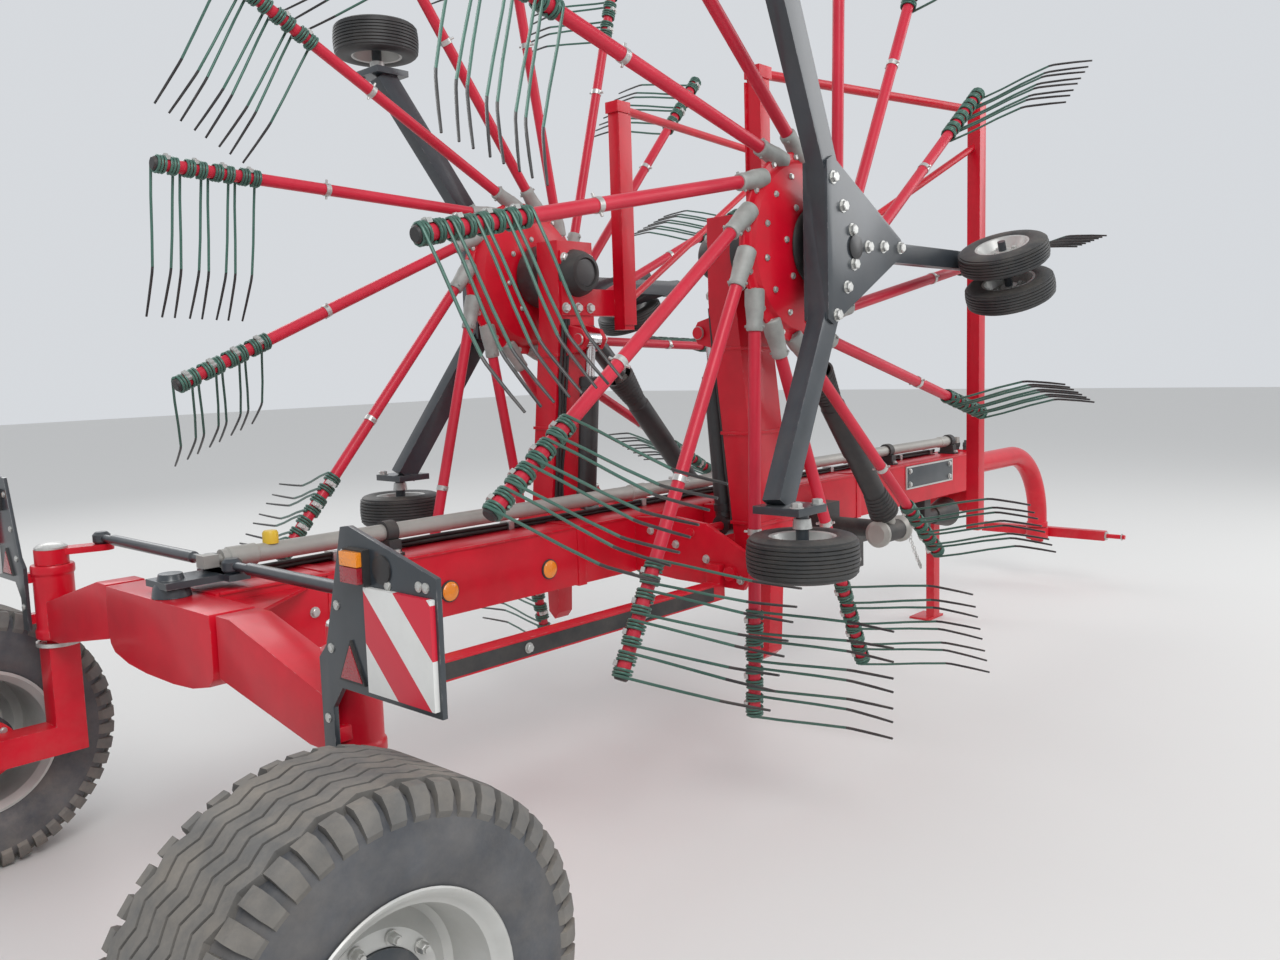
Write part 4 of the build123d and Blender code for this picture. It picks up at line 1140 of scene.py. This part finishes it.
# %% Ribbed drive shaft
def bell(wide, narrow, long, ribs):
    """A ribbed plastic bell, wide end at the bottom, hollow, height along z."""
    outer = []
    for k in range(ribs):
        t0, t1 = k / ribs, (k + 0.55) / ribs
        r0 = wide + (narrow - wide) * t0
        outer += [(r0, long * t0), (r0, long * t1), (r0 - 0.004, long * (t1 + 0.08 / ribs)),
                  (r0 - 0.004, long * (t0 + 0.92 / ribs))]
    return outer + [(narrow, long), (narrow - 0.006, long), (wide - 0.008, 0.0)]


elbow, nose = at(3.15, 0.5, 0.8), at(2.52, 0.52, 1.51)
run = nose - elbow
long = run.length
stand = frame_at(elbow, run)
shaft = Shape()
shaft.put(turned([(0.0, 0.23), (0.046, 0.23), (0.046, long * 0.52), (0.0495, long * 0.52 + 0.006),
                  (0.0495, long - 0.19), (0.046, long - 0.185), (0.046, long - 0.15),
                  (0.0, long - 0.15)], 28, False), stand)
shaft.put(turned(bell(0.064, 0.047, 0.13, 7), 28), stand @ Matrix.Translation((0, 0, 0.120)))
shaft.put(turned(bell(0.066, 0.047, 0.14, 8), 28),
          stand @ Matrix.Translation((0, 0, long - 0.012)) @ Matrix.Rotation(pi, 4, "X"))
yokes = Shape()
for low, high in ((0.052, 0.15), (long - 0.09, long - 0.002)):
    yokes.put(turned([(0.0, low), (0.030, low), (0.034, (low + high) / 2), (0.028, high), (0.0, high)],
                     16, False), stand)
on_body("drive_guard", shaft, plastic, "drive", ("drive_shaft_",), angle=32)
on_body("drive_yokes", yokes, tube_grey, "drive", (), angle=40)

# %% Guards and chains at the gear case
cones, chain = Shape(), Shape()
for side in (-1, 1):
    for x, way in ((3.04, -1), (3.20, 1)):
        cones.put(turned([(0.0, -0.01), (0.046, -0.01), (0.058, 0.004), (0.058, 0.020), (0.040, 0.034),
                          (0.0, 0.036)], 28, False),
                  frame_at(at(x, side * 0.5, 0.8), (way, 0, 0)))
    links = []
    for k in range(22):
        t = k / 21
        links.append(at(3.22 + 0.09 * sin(pi * t), side * (0.535 + 0.015 * sin(pi * t)),
                        0.79 - 0.36 * t * (1 - t) * 2 + 0.02 * t))
    for k, (a, b) in enumerate(zip(links, links[1:])):
        loop = []
        for s in range(9):
            u = 2 * pi * s / 8
            loop.append((0.011 * cos(u), 0.006 * sin(u), 0.0))
        turn = frame_at((a + b) / 2, Vector((1, 0, 0)) if k % 2 else Vector((0, 1, 0)), b - a)
        chain.put(bar(loop, 0.0016, 5), turn)
finish_piece("gear_caps", cones, tube_grey, "chassis", (), angle=32)
finish_piece("guard_chains", chain, zinc, "chassis", (), angle=60)

# %% Bolts, pins and plates on the booms
def boom_middle(z):
    """The middle of the leaning boom at a height."""
    return 0.55 - 0.105 * (z - 0.82) / 0.94


boom_bits = Shape()
for z in (0.98, 1.30, 1.60):
    y = boom_middle(z)
    boom_bits.put(slab(2.034, 2.246, y - 0.066, y + 0.066, z - 0.006, z + 0.006))
boom_bits.put(slab(2.05, 2.23, 0.376, 0.389, 1.76, 2.02))
boom_bits.put(slab(2.362, 2.438, 0.322, 0.330, 1.72, 2.59))
on_body("boom_plates", boom_bits, red, "boom", (), 0.0015, 32)
marks = []
for x in (2.07, 2.14, 2.21):
    for z in (1.79, 1.99):
        marks.append((at(x, 0.376, z), (0, -1, 0)))
for x, z in ((2.015, 2.128), (2.073, 2.043), (2.128, 1.971), (2.229, 1.922), (2.33, 1.928), (2.448, 1.931),
             (2.139, 1.861), (2.094, 1.785), (2.031, 1.694)):
    marks.append((at(x, PLATE_OUT, z), (0, 1, 0)))
for s in (-1, 1):
    for x in (1.605, 1.715):
        marks.append((at(x, 1.040, HUB_Z + s * 0.808), (0, 0, -s)))
marks.append((at(3.70, 0.58, 2.622), (0, -1, 0)))
boom_bolts = Shape().put(bolts_on(marks, 0.030, 0.016))
for x, y, z in ((2.07, 0.310, 1.66), (2.21, 0.310, 1.66)):
    boom_bolts.put(turned([(0.0, -0.004), (0.024, -0.004), (0.024, 0.004), (0.0, 0.004)], 20, False),
                   frame_at(at(x, y, z), (1, 0, 0)))
on_body("boom_bolts", boom_bolts, zinc, "boom", ())

# %% Hub cap, seals and axle ends on the running gear
seals = Shape()
hub_face = frame_at(at(HUB_X, 0.0, HUB_Z), (0, 1, 0))
seals.put(turned([(0.052, 0.767), (0.132, 0.767), (0.132, 0.771), (0.122, 0.780), (0.098, 0.784),
                  (0.052, 0.784)], 48), hub_face)
seals.put(turned([(0.056, 0.325), (0.060, 0.318), (0.075, 0.322), (0.090, 0.350), (0.098, 0.384),
                  (0.056, 0.384)], 40), hub_face)
on_body("hub_seals", seals, plastic, "boom", (), angle=40)
ends = Shape()
for s in (-1, 1):
    level = HUB_Z + s * 0.96
    ends.put(turned([(0.0, 0.0), (0.032, 0.0), (0.032, 0.008), (0.020, 0.010), (0.020, 0.022),
                     (0.0, 0.024)], 20, False),
             frame_at(at(GUIDE_X, GUIDE_Y, level + s * 0.027), (0, 0, s)))
    ends.put(turned([(0.020, 0.0), (0.030, 0.0), (0.026, 0.030), (0.020, 0.030)], 20),
             frame_at(at(GUIDE_X, GUIDE_Y, level - s * 0.082), (0, 0, -s)))
ends.put(turned([(0.0, 0.0), (0.034, 0.0), (0.034, 0.008), (0.018, 0.012), (0.0, 0.012)], 20, False),
         frame_at(at(CASTOR_X, 0.8705, HUB_Z), (0, 1, 0)))
on_body("axle_ends", ends, zinc, "boom", (), angle=40)
hub_disc = Shape().put(turned([(0.0, 0.0), (0.040, 0.0), (0.040, 0.006), (0.032, 0.009), (0.0, 0.009)],
                              28, False),
                       frame_at(at(2.146, PLATE_OUT, 1.917), (0, 1, 0)))
on_body("hub_discs", hub_disc, black, "boom", (), angle=40)
print("booms done")

# %% [markdown]
# Hydraulic hoses run in bundles: along the beam under clips, and up each boom beside the
# lift cylinder. They are held all along, so each bundle is part of what it is tied to.

# %% Hose bundles and clips
beam_hoses, beam_clips = Shape(), Shape()
for k in range(4):
    y = 0.062 + 0.0135 * (k % 3)
    z = 0.999 + 0.012 * (k // 3)
    path = [at(0.45 + 0.35 * i, y + 0.0035 * sin(2.1 * i + k), z + 0.003 * sin(1.3 * i + 2 * k))
            for i in range(13)]
    beam_hoses.put(bar(path, 0.0065, 8))
for x in (0.75, 1.45, 2.15, 2.85, 3.55, 4.25, 4.60):
    beam_clips.put(slab(x - 0.012, x + 0.012, 0.050, 0.102, 0.990, 1.019))
finish_piece("beam_hoses", beam_hoses, plastic, "chassis", (), angle=60)
finish_piece("hose_clips", beam_clips, zinc, "chassis", (), soft=0.003)
boom_hoses = Shape()
for k in range(3):
    path = []
    for i in range(10):
        z = 0.98 + 0.085 * i
        y = boom_middle(z) - 0.070
        path.append(at(2.052 + 0.017 * k + 0.003 * sin(1.7 * i + k), y + 0.002 * sin(2.3 * i + 2 * k), z))
    boom_hoses.put(bar(path, 0.0065, 8))
on_body("boom_hoses", boom_hoses, plastic, "boom", (), angle=60)

# %% Lift cylinder fittings
fittings = Shape()
foot, eye = at(2.14, 0.37, 0.95), at(2.14, 0.31, 1.66)
way = (eye - foot).normalized()
stand = frame_at(foot, way, (1, 0, 0))
for z0, z1, r in ((0.052, 0.082, 0.044), (0.520, 0.556, 0.045)):
    fittings.put(turned([(0.0385, z0), (r, z0 + 0.002), (r, z1 - 0.002), (0.0385, z1)], 28), stand)
on_body("barrel_bands", fittings, black, "barrel", (), angle=32)
ports = Shape()
for z in (0.10, 0.50):
    ports.put(turned([(0.0, 0.036), (0.012, 0.036), (0.012, 0.052), (0.009, 0.054), (0.009, 0.064),
                      (0.0, 0.064)], 12, False),
              stand @ Matrix.Translation((0, 0, z)) @ Matrix.Rotation(pi / 2, 4, "Y"))
on_body("barrel_ports", ports, zinc, "barrel", (), angle=35)
print("hydraulics done")

# %% [markdown]
# ## Front end
# The hitch head can't be seen in the picture, but the part is looked at from all sides:
# washers on the link pins, hose couplings on the end plate and a handle on the leg.

# %% Hitch and parking leg details
hitch = Shape()
for side in (-1, 1):
    hitch.put(turned([(0.014, -0.004), (0.028, -0.004), (0.028, 0.004), (0.014, 0.004)], 24),
              frame_at(at(6.09, side * 0.418, 0.353), (0, 1, 0)))
    hitch.put(turned([(0.012, -0.003), (0.022, -0.003), (0.022, 0.003), (0.012, 0.003)], 20),
              frame_at(at(6.09, side * 0.515, 0.353), (0, 1, 0)))
finish_piece("hitch_pins", hitch, zinc, "hitch", (), angle=35)
swivel = Shape().put(bolt_head(0.03, 0.014), frame_at(at(6.0, 0, 0.295), (0, 0, -1)))
finish_piece("swivel_bolt", swivel, zinc, "chassis", (), angle=35)
couplings = Shape()
for k in range(4):
    y = -0.075 + 0.05 * k
    couplings.put(turned([(0.0, 0.0), (0.013, 0.0), (0.013, 0.018), (0.016, 0.020), (0.016, 0.042),
                          (0.011, 0.045), (0.011, 0.056), (0.0, 0.058)], 16, False),
                  frame_at(at(4.862, y, 0.998), (0.25, 0, 1)))
finish_piece("couplings", couplings, plastic, "chassis", (), angle=35)
cap = Shape().put(turned([(0.0, 0.0), (0.022, 0.0), (0.022, 0.030), (0.018, 0.036), (0.0, 0.037)],
                         20, False),
                  frame_at(at(0.51, 0, 1.084), (0, 0, 1)))
finish_piece("yellow_cap", cap, yellow, "chassis", (), angle=40)
leg = Shape()
leg.put(bar([at(4.735, 0.13, 0.52), at(4.71, 0.13, 0.52), at(4.69, 0.13, 0.50), at(4.69, 0.13, 0.42),
             at(4.71, 0.13, 0.40), at(4.735, 0.13, 0.40)], 0.006, 10))
for z in (0.20, 0.28, 0.36, 0.60):
    leg.put(turned([(0.0, 0.0), (0.011, 0.0), (0.011, 0.003), (0.0, 0.003)], 16, False),
            frame_at(at(4.77, 0.155, z), (0, 1, 0)))
finish_piece("leg_handle", leg, zinc, "stand", (), angle=35)
print("front end done")

# %% [markdown]
# ## Light, floor and camera
# The object is judged by its own colours, so the light is plain: a wide pale sky and
# three large lamps. The floor is pale and keeps the shadow. The camera repeats the
# picture's place, direction and slight roll, fitted to points that match on both sides.

# %% Floor and light
FLOOR_HALF = 40
floor_mesh = bpy.data.meshes.new("floor")
edges = [(x * FLOOR_HALF, y * FLOOR_HALF, -0.001) for x, y in ((-1, -1), (1, -1), (1, 1), (-1, 1))]
floor_mesh.from_pydata(edges, [], [(0, 1, 2, 3)])
floor = bpy.data.objects.new("floor", floor_mesh)
scene.collection.objects.link(floor)
ground = bpy.data.materials.new("pale floor")
ground.use_nodes = True
floor_shader = ground.node_tree.nodes["Principled BSDF"]
floor_shader.inputs["Base Color"].default_value = rgb(0.72, 0.71, 0.69)
floor_shader.inputs["Roughness"].default_value = 0.85
floor_mesh.materials.append(ground)
floor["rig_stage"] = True

world = bpy.data.worlds.new("pale sky")
scene.world = world
world.use_nodes = True
sky = world.node_tree.nodes["Background"]
sky.inputs["Color"].default_value = rgb(0.90, 0.93, 0.97)
sky.inputs["Strength"].default_value = 0.75


def lamp(name, place, aim, size, power):
    """A square area lamp that looks at a point."""
    data = bpy.data.lights.new(name, "AREA")
    data.size = size
    data.energy = power
    light = bpy.data.objects.new(name, data)
    light.matrix_world = frame_at(place, Vector(place) - Vector(aim))
    scene.collection.objects.link(light)


lamp("key", (-5.0, -6.5, 7.5), (0, 0, 1.2), 4.0, 420)
lamp("fill", (6.5, -5.0, 5.0), (0.5, 0, 1.2), 5.0, 200)
lamp("back", (0.0, 8.0, 6.5), (0, 0, 1.5), 5.0, 180)

# %% Camera
SENSOR, PICTURE_WIDTH = 36.0, 1280
YAW, PITCH, ROLL, FOCAL_PX = radians(42.2), radians(6.27), radians(-1.722), 1071.85
CAMERA_PLACE = at(-1.006, -2.791, 1.561)
ahead = Vector((cos(YAW) * cos(PITCH), sin(YAW) * cos(PITCH), -sin(PITCH)))
right = Vector((sin(YAW), -cos(YAW), 0.0))
up = right.cross(ahead)
image_right = right * cos(ROLL) + up * sin(ROLL)
image_up = up * cos(ROLL) - right * sin(ROLL)
lens_data = bpy.data.cameras.new("camera")
lens_data.sensor_width = SENSOR
lens_data.lens = SENSOR * FOCAL_PX / PICTURE_WIDTH
camera = bpy.data.objects.new("camera", lens_data)
pose = Matrix((image_right, image_up, -ahead)).transposed().to_4x4()
pose.translation = CAMERA_PLACE
camera.matrix_world = pose
scene.collection.objects.link(camera)
scene.camera = camera
print("camera lens", round(lens_data.lens, 2))

# %% Sizes and finish
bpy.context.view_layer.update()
MANY = 60000
count = 0
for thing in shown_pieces():
    faces = sum(len(p.vertices) - 2 for p in thing.data.polygons)
    count += faces
    if faces > MANY:
        print("many faces", thing.name, faces)
